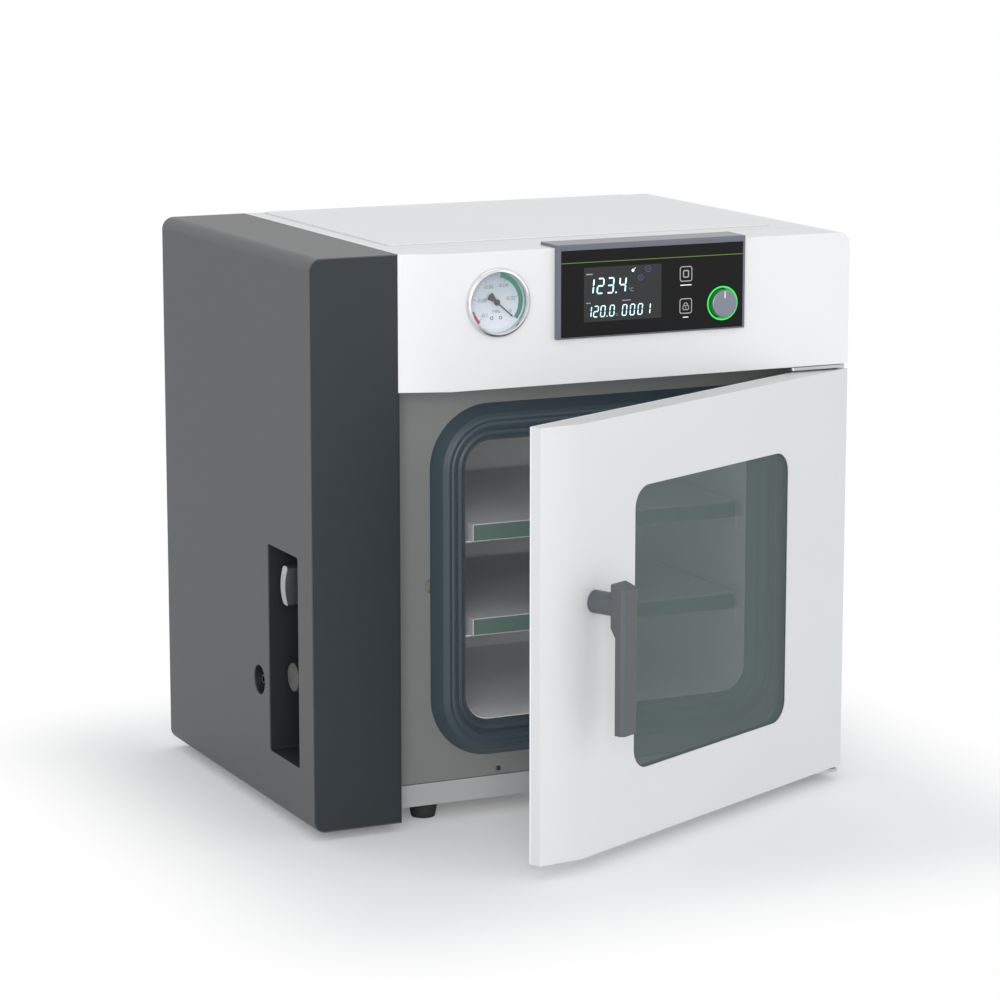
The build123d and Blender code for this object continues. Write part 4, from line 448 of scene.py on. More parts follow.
FINISH_NODES: dict[Finish, tuple[str, ...]] = {
    COLUMN_GREY: ("side_cover",),
    COLUMN_FRONT: ("column_front", "column_partition"),
    LINER: ("column_liner",),
    BRASS: ("vacuum_valve_body", "release_valve_body"),
    PADDLE: ("vacuum_valve_handle",),
    VALVE_KNOB: ("release_valve_knob",),
    DARK_SCREW: ("hose_nozzle",),
    PIPE: ("vacuum_pipes", "temperature_probe", "gauge_case", "encoder_plunger"),
    WHITE: ("body_shell", "top_plate", "front_fascia", "rear_panel"),
    FRAME_GREY: ("front_frame",),
    SILL_WHITE_SHADED: ("sill",),
    ZINC: ("base_pan", "deck_plate", "power_supply"),
    STAINLESS: ("chamber", "shelf_rails", "door_liner"),
    HEATER: ("heater_mats",),
    WOOL: ("insulation",),
    SEAL: ("door_seal",),
    SHELF: ("upper_shelf", "lower_shelf"),
    CHROME: ("gauge_bezel",),
    LENS: ("gauge_lens",),
    BLACK: (
        "gauge_needle", "power_inlet", "power_rocker", "hinge_bushes", "window_frame",
        "stem_bush",
    ),
    BEZEL: ("control_bezel",),
    PANEL: ("control_glass",),
    SCREEN: ("display_module",),
    BOARD: ("control_board",),
    RING_LIGHT: ("knob_light_ring",),
    KNOB: ("dial_knob",),
    FOOT: ("feet",),
    SCREW_STEEL: (
        "foot_screws", "hinge_pins", "glass_clips", "stem_circlip", "latch_hook", "latch_guides",
        "panel_screws",
    ),
    HINGE: ("hinge_plates",),
    DOOR_WHITE: ("door_skin",),
    TINTED: ("door_window",),
    CLEAR: ("door_glass",),
    GASKET: ("pane_gasket",),
    STEM: ("handle_stem",),
    HANDLE: ("handle_bar",),
}
NODE_FINISH = {node: finish for finish, nodes in FINISH_NODES.items() for node in nodes}

BEVEL_NODES: dict[float, tuple[str, ...]] = {
    0.2: ("control_glass",),
    0.3: ("front_frame", "sill", "rear_panel", "door_liner", "glass_clips", "knob_light_ring"),
    0.4: (
        "side_cover", "column_front", "column_liner", "body_shell", "top_plate", "front_fascia",
        "shelf_rails", "upper_shelf", "lower_shelf", "hinge_plates", "power_rocker",
    ),
    0.5: ("control_bezel", "power_inlet"),
    0.8: ("vacuum_valve_handle", "chamber", "door_skin", "handle_stem", "feet"),
    1.0: ("handle_bar",),
}
NODE_BEVEL_MM = {node: width for width, nodes in BEVEL_NODES.items() for node in nodes}


# Painted shade on the gauge card: blue-grey at the top, near white at the bottom.
CARD_TOP_SHADE: Colour = (0.36, 0.42, 0.46)
CARD_LOWER: Colour = (0.82, 0.87, 0.95)


class MaterialLibrary:
    """Builds each finish once and hands it out by value."""

    def __init__(self) -> None:
        """Starts with nothing built."""
        self._built: dict[str, bpy.types.Material] = {}

    def get(self, finish: Finish) -> bpy.types.Material:
        """Returns the material of a finish, building it the first time."""
        if finish.name not in self._built:
            self._built[finish.name] = finish.build()
        return self._built[finish.name]


# ------------------------------------------------------------------ mesh helpers
def add_object(
    name: str,
    verts: Sequence[Sequence[float]],
    faces: Sequence[Sequence[int]],
    material: bpy.types.Material,
    body: Body,
    smooth: bool = False,
) -> bpy.types.Object:
    """Makes a mesh object that rides on a CAD body.

    Args:
        name: Piece name.
        verts: Vertices in metres, in the row frame.
        faces: Vertex indices of each face.
        material: Its material.
        body: The body it moves with.
        smooth: Whether its faces are shaded smooth.

    Returns:
        The new object.
    """
    mesh = bpy.data.meshes.new(name)
    mesh.from_pydata([tuple(v) for v in verts], [], [tuple(f) for f in faces])
    mesh.validate()
    if smooth:
        mesh.shade_smooth()
    mesh.materials.append(material)
    obj = bpy.data.objects.new(name, mesh)
    bpy.context.scene.collection.objects.link(obj)
    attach(obj, body.value)
    return obj


def soften(obj: bpy.types.Object, width_mm: float) -> None:
    """Rounds a CAD node's sharp edges with modifiers, leaving its mesh as it is.

    Triangles in one plane are joined first, so that flat faces shade evenly.

    Args:
        obj: The node.
        width_mm: Width of the rounding.
    """
    weld = obj.modifiers.new("weld", "WELD")
    weld.merge_threshold = WELD_REACH
    planes = obj.modifiers.new("planes", "DECIMATE")
    planes.decimate_type = "DISSOLVE"
    planes.angle_limit = FLAT_ANGLE
    bevel = obj.modifiers.new("bevel", "BEVEL")
    bevel.width = width_mm * MM
    bevel.segments = 2
    bevel.limit_method = "ANGLE"
    bevel.angle_limit = SHARP_ANGLE
    flat = obj.modifiers.new("flat", "WEIGHTED_NORMAL")
    flat.mode = "FACE_AREA"
    flat.weight = 50


class Islands:
    """Bounding boxes of the separate solids in one CAD node."""

    def __init__(self, node: bpy.types.Object) -> None:
        """Measures each group of joined faces in the node."""
        bm = bmesh.new()
        bm.from_mesh(node.data)
        bmesh.ops.remove_doubles(bm, verts=bm.verts, dist=WELD_REACH)
        bm.verts.ensure_lookup_table()
        seen: set[int] = set()
        self.boxes: list[tuple[Vector, Vector]] = []
        for vert in bm.verts:
            if vert.index in seen:
                continue
            stack = [vert]
            seen.add(vert.index)
            low, high = vert.co.copy(), vert.co.copy()
            while stack:
                current = stack.pop()
                for axis in range(3):
                    low[axis] = min(low[axis], current.co[axis])
                    high[axis] = max(high[axis], current.co[axis])
                for edge in current.link_edges:
                    other = edge.other_vert(current)
                    if other.index not in seen:
                        seen.add(other.index)
                        stack.append(other)
            self.boxes.append((low, high))
        bm.free()


# ------------------------------------------------------------------ printed layers
SEGMENTS: dict[str, str] = {
    "0": "abcdef",
    "1": "bc",
    "2": "abged",
    "3": "abgcd",
    "4": "fgbc",
}


class PrintLayer:
    """Flat print on an upright face: collects shapes in X and Z, then becomes one mesh."""

    def __init__(self, name: str, y: float) -> None:
        """Starts an empty layer of that name at depth y."""
        self.name = name
        self.y = y
        self.verts: list[Point3] = []
        self.faces: list[tuple[int, ...]] = []

    def polygon(self, points: Sequence[Point2]) -> None:
        """Adds one filled polygon."""
        start = len(self.verts)
        self.verts += [(x, self.y, z) for x, z in points]
        self.faces.append(tuple(range(start, start + len(points))))

    def rect(self, x0: float, z0: float, x1: float, z1: float) -> None:
        """Adds a filled rectangle."""
        self.polygon([(x0, z0), (x1, z0), (x1, z1), (x0, z1)])

    def band(
        self, cx: float, cz: float, r0: float, r1: float, a0: float, a1: float, steps: int = 48
    ) -> None:
        """Adds a band of a ring between two angles in degrees."""
        for i in range(steps):
            b = math.radians(a0 + (a1 - a0) * i / steps)
            c = math.radians(a0 + (a1 - a0) * (i + 1) / steps)
            self.polygon(
                [
                    (cx + r0 * math.cos(b), cz + r0 * math.sin(b)),
                    (cx + r1 * math.cos(b), cz + r1 * math.sin(b)),
                    (cx + r1 * math.cos(c), cz + r1 * math.sin(c)),
                    (cx + r0 * math.cos(c), cz + r0 * math.sin(c)),
                ]
            )

    def bar(self, a: Point2, b: Point2, width: float) -> None:
        """Adds a straight stroke between two points."""
        dx, dz = b[0] - a[0], b[1] - a[1]
        length = math.hypot(dx, dz)
        nx, nz = -dz / length * width / 2, dx / length * width / 2
        self.polygon(
            [
                (a[0] + nx, a[1] + nz),
                (a[0] - nx, a[1] - nz),
                (b[0] - nx, b[1] - nz),
                (b[0] + nx, b[1] + nz),
            ]
        )

    def rounded_frame(
        self, cx: float, cz: float, width: float, height: float, radius: float, stroke: float
    ) -> None:
        """Adds the outline of a rounded rectangle."""
        outer = self._rounded(cx, cz, width, height, radius)
        inner = self._rounded(cx, cz, width - 2 * stroke, height - 2 * stroke, radius - stroke)
        count = len(outer)
        for i in range(count):
            j = (i + 1) % count
            self.polygon([outer[i], outer[j], inner[j], inner[i]])

    @staticmethod
    def _rounded(
        cx: float, cz: float, width: float, height: float, radius: float
    ) -> list[Point2]:
        """Points round a rounded rectangle."""
        radius = max(radius, 1e-6)
        points = []
        for quarter, (sx, sz) in enumerate(((1, 1), (-1, 1), (-1, -1), (1, -1))):
            for step in range(7):
                angle = math.radians(90 * quarter + 15 * step)
                points.append(
                    (
                        cx + sx * (width / 2 - radius) + radius * math.cos(angle),
                        cz + sz * (height / 2 - radius) + radius * math.sin(angle),
                    )
                )
        return points

    def text(self, words: str, cx: float, cz: float, height: float) -> None:
        """Adds centred lettering of the given capital height."""
        curve = bpy.data.curves.new(self.name + "_text", "FONT")
        curve.body = words
        curve.size = height / 0.7
        curve.align_x = "CENTER"
        curve.align_y = "CENTER"
        holder = bpy.data.objects.new(self.name + "_text", curve)
        bpy.context.scene.collection.objects.link(holder)
        bpy.context.view_layer.update()
        mesh = bpy.data.meshes.new_from_object(
            holder.evaluated_get(bpy.context.evaluated_depsgraph_get())
        )
        start = len(self.verts)
        self.verts += [(cx + v.co.x, self.y, cz + v.co.y) for v in mesh.vertices]
        self.faces += [tuple(start + i for i in p.vertices) for p in mesh.polygons]
        bpy.data.meshes.remove(mesh)
        bpy.data.objects.remove(holder)
        bpy.data.curves.remove(curve)

    def digit(self, char: str, x: float, z: float, height: float, slant: float = 0.09) -> None:
        """Adds one seven-segment digit with its lower left corner at x, z."""
        width, stroke = height * 0.44, height * 0.1
        gap = stroke * 0.22
        mid = height / 2
        ends = {
            "a": ((gap, height), (width - gap, height)),
            "b": ((width, height - gap), (width, mid + gap)),
            "c": ((width, mid - gap), (width, gap)),
            "d": ((gap, 0), (width - gap, 0)),
            "e": ((0, mid - gap), (0, gap)),
            "f": ((0, height - gap), (0, mid + gap)),
            "g": ((gap, mid), (width - gap, mid)),
        }
        for key in SEGMENTS[char]:
            (ax, az), (bx, bz) = ends[key]
            self._segment(
                (x + ax + az * slant, z + az), (x + bx + bz * slant, z + bz), stroke
            )

    def _segment(self, a: Point2, b: Point2, stroke: float) -> None:
        """Adds one pointed segment between two points."""
        dx, dz = b[0] - a[0], b[1] - a[1]
        length = math.hypot(dx, dz)
        ux, uz = dx / length, dz / length
        nx, nz = -uz * stroke / 2, ux * stroke / 2
        sx, sz = ux * stroke / 2, uz * stroke / 2
        self.polygon(
            [
                a,
                (a[0] + sx + nx, a[1] + sz + nz),
                (b[0] - sx + nx, b[1] - sz + nz),
                b,
                (b[0] - sx - nx, b[1] - sz - nz),
                (a[0] + sx - nx, a[1] + sz - nz),
            ]
        )

    def number(
        self, digits: str, x: float, z: float, height: float, pitch: float, dot_gap: float = 0.0
    ) -> None:
        """Adds a row of seven-segment digits.

        Args:
            digits: The figures, with a dot where one is lit.
            x: Left end of the first digit.
            z: Foot of the digits.
            height: Height of a digit.
            pitch: Distance from one digit to the next.
            dot_gap: Extra room that a dot takes.
        """
        for char in digits:
            if char == ".":
                side = height * 0.1
                at = x - pitch + height * 0.44 + (pitch - height * 0.44 + dot_gap) / 2
                self.rect(at - side / 2, z - side / 2, at + side / 2, z + side / 2)
                x += dot_gap
            else:
                self.digit(char, x, z, height)
                x += pitch

    def build(self, material: bpy.types.Material, body: Body, slot: str) -> bpy.types.Object:
        """Makes the layer's mesh object."""
        return add_object(self.name, self.verts, self.faces, material, body)


# ------------------------------------------------------------------ sub-assemblies
@dataclass
class GaugePrint:
    """Scale of the vacuum gauge, printed just in front of its dial."""

    materials: MaterialLibrary
    lift: float = 0.05 * MM
    zero_angle: float = -41.0
    full_angle: float = 225.0
    steps: int = 5
    ring: float = 24.0 * MM
    green: Edges = (24.0 * MM, 28.7 * MM, -38.0, 80.0)
    red: Edges = (24.6 * MM, 28.7 * MM, 198.0, 228.0)
    numeral: float = 3.7 * MM
    long_tick: Point2 = (2.6 * MM, 0.5 * MM)
    short_tick: Point2 = (1.4 * MM, 0.26 * MM)
    unit_drop: float = 9.2 * MM
    unit_height: float = 3.4 * MM
    mark_offset: Point2 = (4.7 * MM, 15.3 * MM)
    mark_radii: Point2 = (1.0 * MM, 1.8 * MM)
    labels: tuple[tuple[str, float, float], ...] = (
        ("0", -31.0, 17.8 * MM),
        ("-0.02", 11.0, 15.6 * MM),
        ("-0.04", 65.0, 17.4 * MM),
        ("-0.06", 118.0, 17.0 * MM),
        ("-0.08", 172.0, 15.6 * MM),
        ("-0.1", 225.0, 17.6 * MM),
    )

    def build(self) -> list[bpy.types.Object]:
        """Returns the printed layers."""
        low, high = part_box("gauge_dial")
        cx, cz = (low[0] + high[0]) / 2, (low[2] + high[2]) / 2
        y = low[1] - self.lift
        arcs = []
        for name, size, finish in (
            ("gauge_green_arc", self.green, GREEN_ARC),
            ("gauge_red_arc", self.red, RED_ARC),
        ):
            layer = PrintLayer(name, y)
            layer.band(cx, cz, *size)
            arcs.append(layer.build(self.materials.get(finish), Body.CABINET, "dial_face"))
        scale = PrintLayer("gauge_scale", y - self.lift)
        self._ticks(scale, cx, cz)
        for label, degrees, reach in self.labels:
            angle = math.radians(degrees)
            scale.text(
                label, cx + reach * math.cos(angle), cz + reach * math.sin(angle), self.numeral
            )
        scale.text("MPa", cx, cz - self.unit_drop, self.unit_height)
        for side in (-1, 1):
            mark_x, mark_z = cx + side * self.mark_offset[0], cz - self.mark_offset[1]
            scale.band(mark_x, mark_z, *self.mark_radii, 0, 360, 20)
        return [*arcs, scale.build(self.materials.get(DIAL_INK), Body.CABINET, "dial_face")]

    def _ticks(self, scale: PrintLayer, cx: float, cz: float) -> None:
        """Adds the long and short strokes of the scale.

        Args:
            scale: Layer that takes the strokes.
            cx: Centre of the dial.
            cz: Centre of the dial.
        """
        span = self.full_angle - self.zero_angle
        count = self.steps * 5
        for i in range(count + 1):
            angle = math.radians(self.zero_angle + span * i / count)
            length, width = self.long_tick if i % 5 == 0 else self.short_tick
            inner = self.ring - length
            scale.bar(
                (cx + inner * math.cos(angle), cz + inner * math.sin(angle)),
                (cx + self.ring * math.cos(angle), cz + self.ring * math.sin(angle)),
                width,
            )


@dataclass
class PanelPrint:
    """Screen, symbols and line on the control glass. Plain bars stand where words would be."""

    materials: MaterialLibrary
    lift: float = 0.04 * MM
    line_drop: float = 12.0 * MM
    line_width: float = 0.7 * MM
    icon_from_right: float = 63.7 * MM
    start_height: float = 55.6 * MM
    lock_height: float = 23.7 * MM
    numbers: tuple[tuple[str, float, float, float, float, float], ...] = (
        ("123.4", 3.3, 27.7, 14.5, 10.9, 2.4),
        ("120.0", 2.9, 4.8, 10.4, 7.5, 2.5),
        ("0001", 41.7, 4.6, 10.4, 8.6, 0.0),
    )
    caption_bars: tuple[Edges, ...] = (
        (2.2, 46.2, 9.2, 47.4),
        (2.2, 18.2, 7.2, 19.1),
        (41.8, 19.0, 51.0, 19.9),
    )
    units: tuple[Point3, ...] = ((51.4, 29.4, 3.6), (35.4, 5.8, 2.4))
    lamp: Point3 = (53.4, 48.4, 1.5)
    lamp_ray: Edges = (54.2, 49.2, 56.4, 51.0)
    rings: tuple[Point2, ...] = ((70.0, 49.3), (62.2, 41.0))
    ring_radii: Point2 = (2.6 * MM, 3.1 * MM)
    ring_bars: tuple[Edges, ...] = ((68.6, 49.0, 71.4, 49.6), (61.9, 39.8, 62.5, 42.4))
    key_frame: Edges = (13.9 * MM, 15.2 * MM, 2.7 * MM, 0.9 * MM)
    start_frame: Edges = (6.6 * MM, 7.6 * MM, 1.7 * MM, 1.1 * MM)
    lock_frame: Edges = (7.0 * MM, 4.9 * MM, 1.4 * MM, 0.8 * MM)
    lock_drop: float = 1.6 * MM
    shackle: Point3 = (1.0 * MM, 1.7 * MM, 2.5 * MM)
    keyhole: Point3 = (0.6 * MM, 2.4 * MM, 0.8 * MM)
    bar_rows: Point2 = (11.6 * MM, 10.6 * MM)
    bar_halves: Point2 = (6.2 * MM, 3.0 * MM)

    def build(self) -> list[bpy.types.Object]:
        """Returns the printed and lit layers."""
        low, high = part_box("control_glass")
        screen_low, screen_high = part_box("display_module")
        y = low[1] - self.lift
        get = self.materials.get
        film = PrintLayer("screen_area", y)
        film.rect(screen_low[0], screen_low[2], screen_high[0], screen_high[2])
        line = PrintLayer("panel_line", y)
        line_z = high[2] - self.line_drop
        line.rect(low[0], line_z - self.line_width / 2, high[0], line_z + self.line_width / 2)
        icon_x = high[0] - self.icon_from_right
        made = [
            film.build(get(SCREEN), Body.CABINET, "screen"),
            line.build(get(GREEN_LINE_PAINTED_GLOW), Body.CABINET, "panel_glass"),
        ]
        made += self._readings(screen_low[0], screen_low[2], y - self.lift)
        made += self._touch_keys(icon_x, low[2], y)
        return made

    def _readings(self, left: float, bottom: float, y: float) -> list[bpy.types.Object]:
        """Lit figures, their plain captions and the small lit symbols.

        Args:
            left: Left edge of the screen.
            bottom: Lower edge of the screen.
            y: Depth of the lit layer.

        Returns:
            The figures, the captions and the symbols.
        """
        lit = PrintLayer("screen_digits", y)
        for digits, x, z, *sizes in self.numbers:
            lit.number(digits, left + x * MM, bottom + z * MM, *(size * MM for size in sizes))
        x, z, radius = self.lamp
        lit.band(left + x * MM, bottom + z * MM, 0.0, radius * MM, 0, 360, 16)
        x0, z0, x1, z1 = self.lamp_ray
        ray_end = (left + x1 * MM, bottom + z1 * MM)
        lit.bar((left + x0 * MM, bottom + z0 * MM), ray_end, MM / 2)
        captions = PrintLayer("screen_captions", y)
        for x0, z0, x1, z1 in self.caption_bars:
            captions.rect(left + x0 * MM, bottom + z0 * MM, left + x1 * MM, bottom + z1 * MM)
        for x, z, height in self.units:
            captions.text("°C", left + x * MM, bottom + z * MM, height * MM)
        symbols = PrintLayer("screen_symbols", y)
        for x, z in self.rings:
            symbols.band(left + x * MM, bottom + z * MM, *self.ring_radii, 0, 360, 32)
        for x0, z0, x1, z1 in self.ring_bars:
            symbols.rect(left + x0 * MM, bottom + z0 * MM, left + x1 * MM, bottom + z1 * MM)
        get = self.materials.get
        return [
            lit.build(get(DIGIT), Body.CABINET, "screen"),
            captions.build(get(CAPTION), Body.CABINET, "screen"),
            symbols.build(get(DIM_BLUE), Body.CABINET, "screen"),
        ]

    def _touch_keys(self, x: float, bottom: float, y: float) -> list[bpy.types.Object]:
        """Outlines of the two touch keys, with a plain bar below each.

        Args:
            x: Centre of both keys.
            bottom: Lower edge of the glass.
            y: Depth of the print.

        Returns:
            The outlines and the bars.
        """
        start, lock = bottom + self.start_height, bottom + self.lock_height
        icons = PrintLayer("touch_icons", y)
        for z in (start, lock):
            icons.rounded_frame(x, z, *self.key_frame)
        icons.rounded_frame(x, start, *self.start_frame)
        icons.rounded_frame(x, lock - self.lock_drop, *self.lock_frame)
        rise, inner, outer = self.shackle
        icons.band(x, lock + rise, inner, outer, 0, 180, 16)
        upper, lower, width = self.keyhole
        icons.bar((x, lock - upper), (x, lock - lower), width)
        bars = PrintLayer("touch_bars", y)
        foot, top = self.bar_rows
        for z, half in zip((start, lock), self.bar_halves):
            bars.rect(x - half, z - foot, x + half, z - top)
        return [
            icons.build(self.materials.get(GREY_INK), Body.CABINET, "panel_glass"),
            bars.build(self.materials.get(WHITE_INK_PAINTED_GLOW), Body.CABINET, "panel_glass"),
        ]


@dataclass
class DialMark:
    """White pointer line on the dial knob's face."""

    materials: MaterialLibrary
    lift: float = 0.03 * MM
    half_width: float = 0.5 * MM
    reach: Point2 = (5.5 * MM, 12.2 * MM)

    def build(self) -> bpy.types.Object:
        """Returns the line's object."""
        low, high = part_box("dial_knob")
        cx, cz = (low[0] + high[0]) / 2, (low[2] + high[2]) / 2
        layer = PrintLayer("dial_mark", low[1] - self.lift)
        inner, outer = self.reach
        layer.rect(cx - self.half_width, cz + inner, cx + self.half_width, cz + outer)
        return layer.build(self.materials.get(WHITE_INK_PAINTED_GLOW), Body.DIAL, "knob_grey")


@dataclass
class ShelfLipShade:
    """Strip of painted shade, dark green-grey, on the front lip of each shelf, short of the lip's
    bright edges.
    """

    materials: MaterialLibrary
    margin: float = 0.9 * MM
    proud: float = 0.25 * MM

    def build(self) -> list[bpy.types.Object]:
        """Returns the two strips."""
        strips = []
        for node, body in (("upper_shelf", Body.UPPER_SHELF), ("lower_shelf", Body.LOWER_SHELF)):
            low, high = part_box(node)
            x0, x1 = low[0] + self.margin, high[0] - self.margin
            z0, z1 = low[2] + self.margin, high[2] - self.margin
            front, back = low[1] - self.proud, low[1]
            corners = ((x0, z0), (x1, z0), (x1, z1), (x0, z1))
            verts = [(x, y, z) for y in (back, front) for x, z in corners]
            faces = [(3, 2, 1, 0), (4, 5, 6, 7)]
            faces += [(i, (i + 1) % 4, (i + 1) % 4 + 4, i + 4) for i in range(4)]
            # The strip is painted shade laid on the lip's face.
            strip = add_object(
                f"{node}_front",
                verts,
                faces,
                self.materials.get(SHELF_LIP_SHADE),
                body,
            )
            edge = strip.modifiers.new("edge", "BEVEL")
            edge.width = self.proud / 3
            strips.append(strip)
        return strips


@dataclass
class SealPiece:
    """Moulded silicone door seal with rounded ridges, swept round the chamber's mouth."""

    materials: MaterialLibrary
    corner_steps: int = 24
    corner_radius: float = 27.0 * MM
    section: list[Point2] = field(
        default_factory=lambda: [
            (0.0, 0.0), (0.0, 4.0), (0.5, 5.0), (3.4, 8.5), (4.4, 9.6), (6.3, 11.2),
            (7.6, 11.5), (8.6, 11.1), (9.4, 10.3), (10.5, 10.0), (11.5, 10.7), (13.0, 13.3),
            (14.2, 15.0), (15.4, 15.8), (17.2, 16.0), (18.5, 15.7), (19.2, 14.9), (20.0, 14.9),
            (20.7, 15.7), (22.3, 16.0), (23.8, 15.6), (25.2, 14.6), (26.4, 13.4), (27.4, 13.0),
            (28.6, 11.4), (34.6, 3.2), (35.7, 1.9), (36.4, 0.9), (36.4, 0.0),
        ]
    )

    def build(self) -> bpy.types.Object:
        """Returns the seal."""
        low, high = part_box("door_seal")
        width = max(x for x, _ in self.section) * MM
        x0, x1 = low[0] + width, high[0] - width
        z0, z1 = low[2] + width, high[2] - width
        base = high[1]
        route: list[Point3] = []
        corners = ((x1, z1, 0), (x0, z1, 90), (x0, z0, 180), (x1, z0, 270))
        for cx, cz, start in corners:
            mid_x = cx - math.copysign(self.corner_radius, cx - (x0 + x1) / 2)
            mid_z = cz - math.copysign(self.corner_radius, cz - (z0 + z1) / 2)
            for step in range(self.corner_steps + 1):
                angle = start + 90 * step / self.corner_steps
                route.append((mid_x, mid_z, math.radians(angle)))
        verts, faces = [], []
        count = len(self.section)
        for mid_x, mid_z, angle in route:
            for out, rise in self.section:
                reach = self.corner_radius + out * MM
                verts.append(
                    (
                        mid_x + reach * math.cos(angle),
                        base - rise * MM,
                        mid_z + reach * math.sin(angle),
                    )
                )
        for i in range(len(route)):
            j = (i + 1) % len(route)
            for k in range(count):
                n = (k + 1) % count
                faces.append((i * count + k, i * count + n, j * count + n, j * count + k))
        seal = add_object(
            "door_seal_moulding",
            verts,
            faces,
            self.materials.get(SEAL),
            Body.CABINET,
            True,
        )
        seal.data.set_sharp_from_angle(angle=math.radians(50))
        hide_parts("door_seal")
        return seal


@dataclass
class ScrewHeads:
    """Domed cross-recess heads in place of the plain CAD heads."""

    materials: MaterialLibrary
    rings: int = 5
    around: int = 24
    head: float = 2.0 * MM
    shank_length: float = 7.5 * MM
    shank_share: float = 0.57
    recess_depth: float = 0.7 * MM
    recess_reach: float = 0.55
    recess_width: float = 0.12
    centre_radius: float = 0.02 * MM

    def build(self) -> list[bpy.types.Object]:
        """Returns one object for the front screws and one for the rest."""
        node = bpy.data.objects["panel_screws"]
        made = {"frame_screw_heads": ([], []), "rear_screw_heads": ([], [])}
        for low, high in Islands(node).boxes:
            centre = (low + high) / 2
            front = centre.y < 0
            key = "frame_screw_heads" if front else "rear_screw_heads"
            verts, faces = made[key]
            face_y = low.y if front else high.y
            outward = -1.0 if front else 1.0
            self._add(verts, faces, centre.x, face_y, centre.z, outward, high.x - low.x)
        objects = []
        for key, (verts, faces) in made.items():
            finish = DARK_SCREW if key == "frame_screw_heads" else SCREW_STEEL
            objects.append(
                add_object(
                    key,
                    verts,
                    faces,
                    self.materials.get(finish),
                    Body.CABINET,
                    True,
                )
            )
        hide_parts("panel_screws")
        return objects

    def _add(
        self,
        verts: list[Point3],
        faces: list[tuple[int, ...]],
        x: float,
        y: float,
        z: float,
        outward: float,
        width: float,
    ) -> None:
        """Adds one screw: dome with a cross recess, and its shank."""
        radius = width / 2
        start = len(verts)
        for ring in range(self.rings + 1):
            share = ring / self.rings
            for step in range(self.around):
                angle = 2 * math.pi * step / self.around
                reach = radius * math.sin(share * math.pi / 2) if ring else self.centre_radius
                drop = self.head * (1 - math.cos(share * math.pi / 2) ** 0.6)
                cross = min(abs(math.cos(angle)), abs(math.sin(angle)))
                arm = cross * reach < radius * self.recess_width
                sunk = reach < radius * self.recess_reach and arm
                depth = drop + (self.recess_depth if sunk else 0.0)
                verts.append(
                    (
                        x + reach * math.cos(angle),
                        y - outward * depth,
                        z + reach * math.sin(angle),
                    )
                )
        for step in range(self.around):
            angle = 2 * math.pi * step / self.around
            verts.append(
                (
                    x + radius * self.shank_share * math.cos(angle),
                    y - outward * (self.head + self.shank_length),
                    z + radius * self.shank_share * math.sin(angle),
                )
            )
        for ring in range(self.rings + 1):
            for step in range(self.around):
                after = (step + 1) % self.around
                a = start + ring * self.around
                b = a + self.around
                faces.append((a + step, a + after, b + after, b + step))
        faces.append(tuple(start + i for i in range(self.around)))


@dataclass
class CadFinish:
    """Gives every CAD node its finish and softened edges."""

    materials: MaterialLibrary
    nodes: dict[str, bpy.types.Object]

    def build(self) -> None:
        """Assigns materials and bevels to the nodes."""
        for name, obj in self.nodes.items():
            finish = NODE_FINISH.get(name)
            if name == "gauge_dial":
                # The gauge card gets its height gradient of painted shade.
                low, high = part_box(name)
                finish = ShadedDialFace(
                    "gauge_card_painted_shade",
                    CARD_TOP_SHADE,
                    CARD_LOWER,
                    (low[2] + high[2]) / 2,
                    (high[2] - low[2]) / 2,
                )
            obj.data.materials.clear()
            obj.data.materials.append(self.materials.get(finish))
            if name in NODE_BEVEL_MM:
                soften(obj, NODE_BEVEL_MM[name])
            LOG.info("finished %s with %s", name, finish.name)


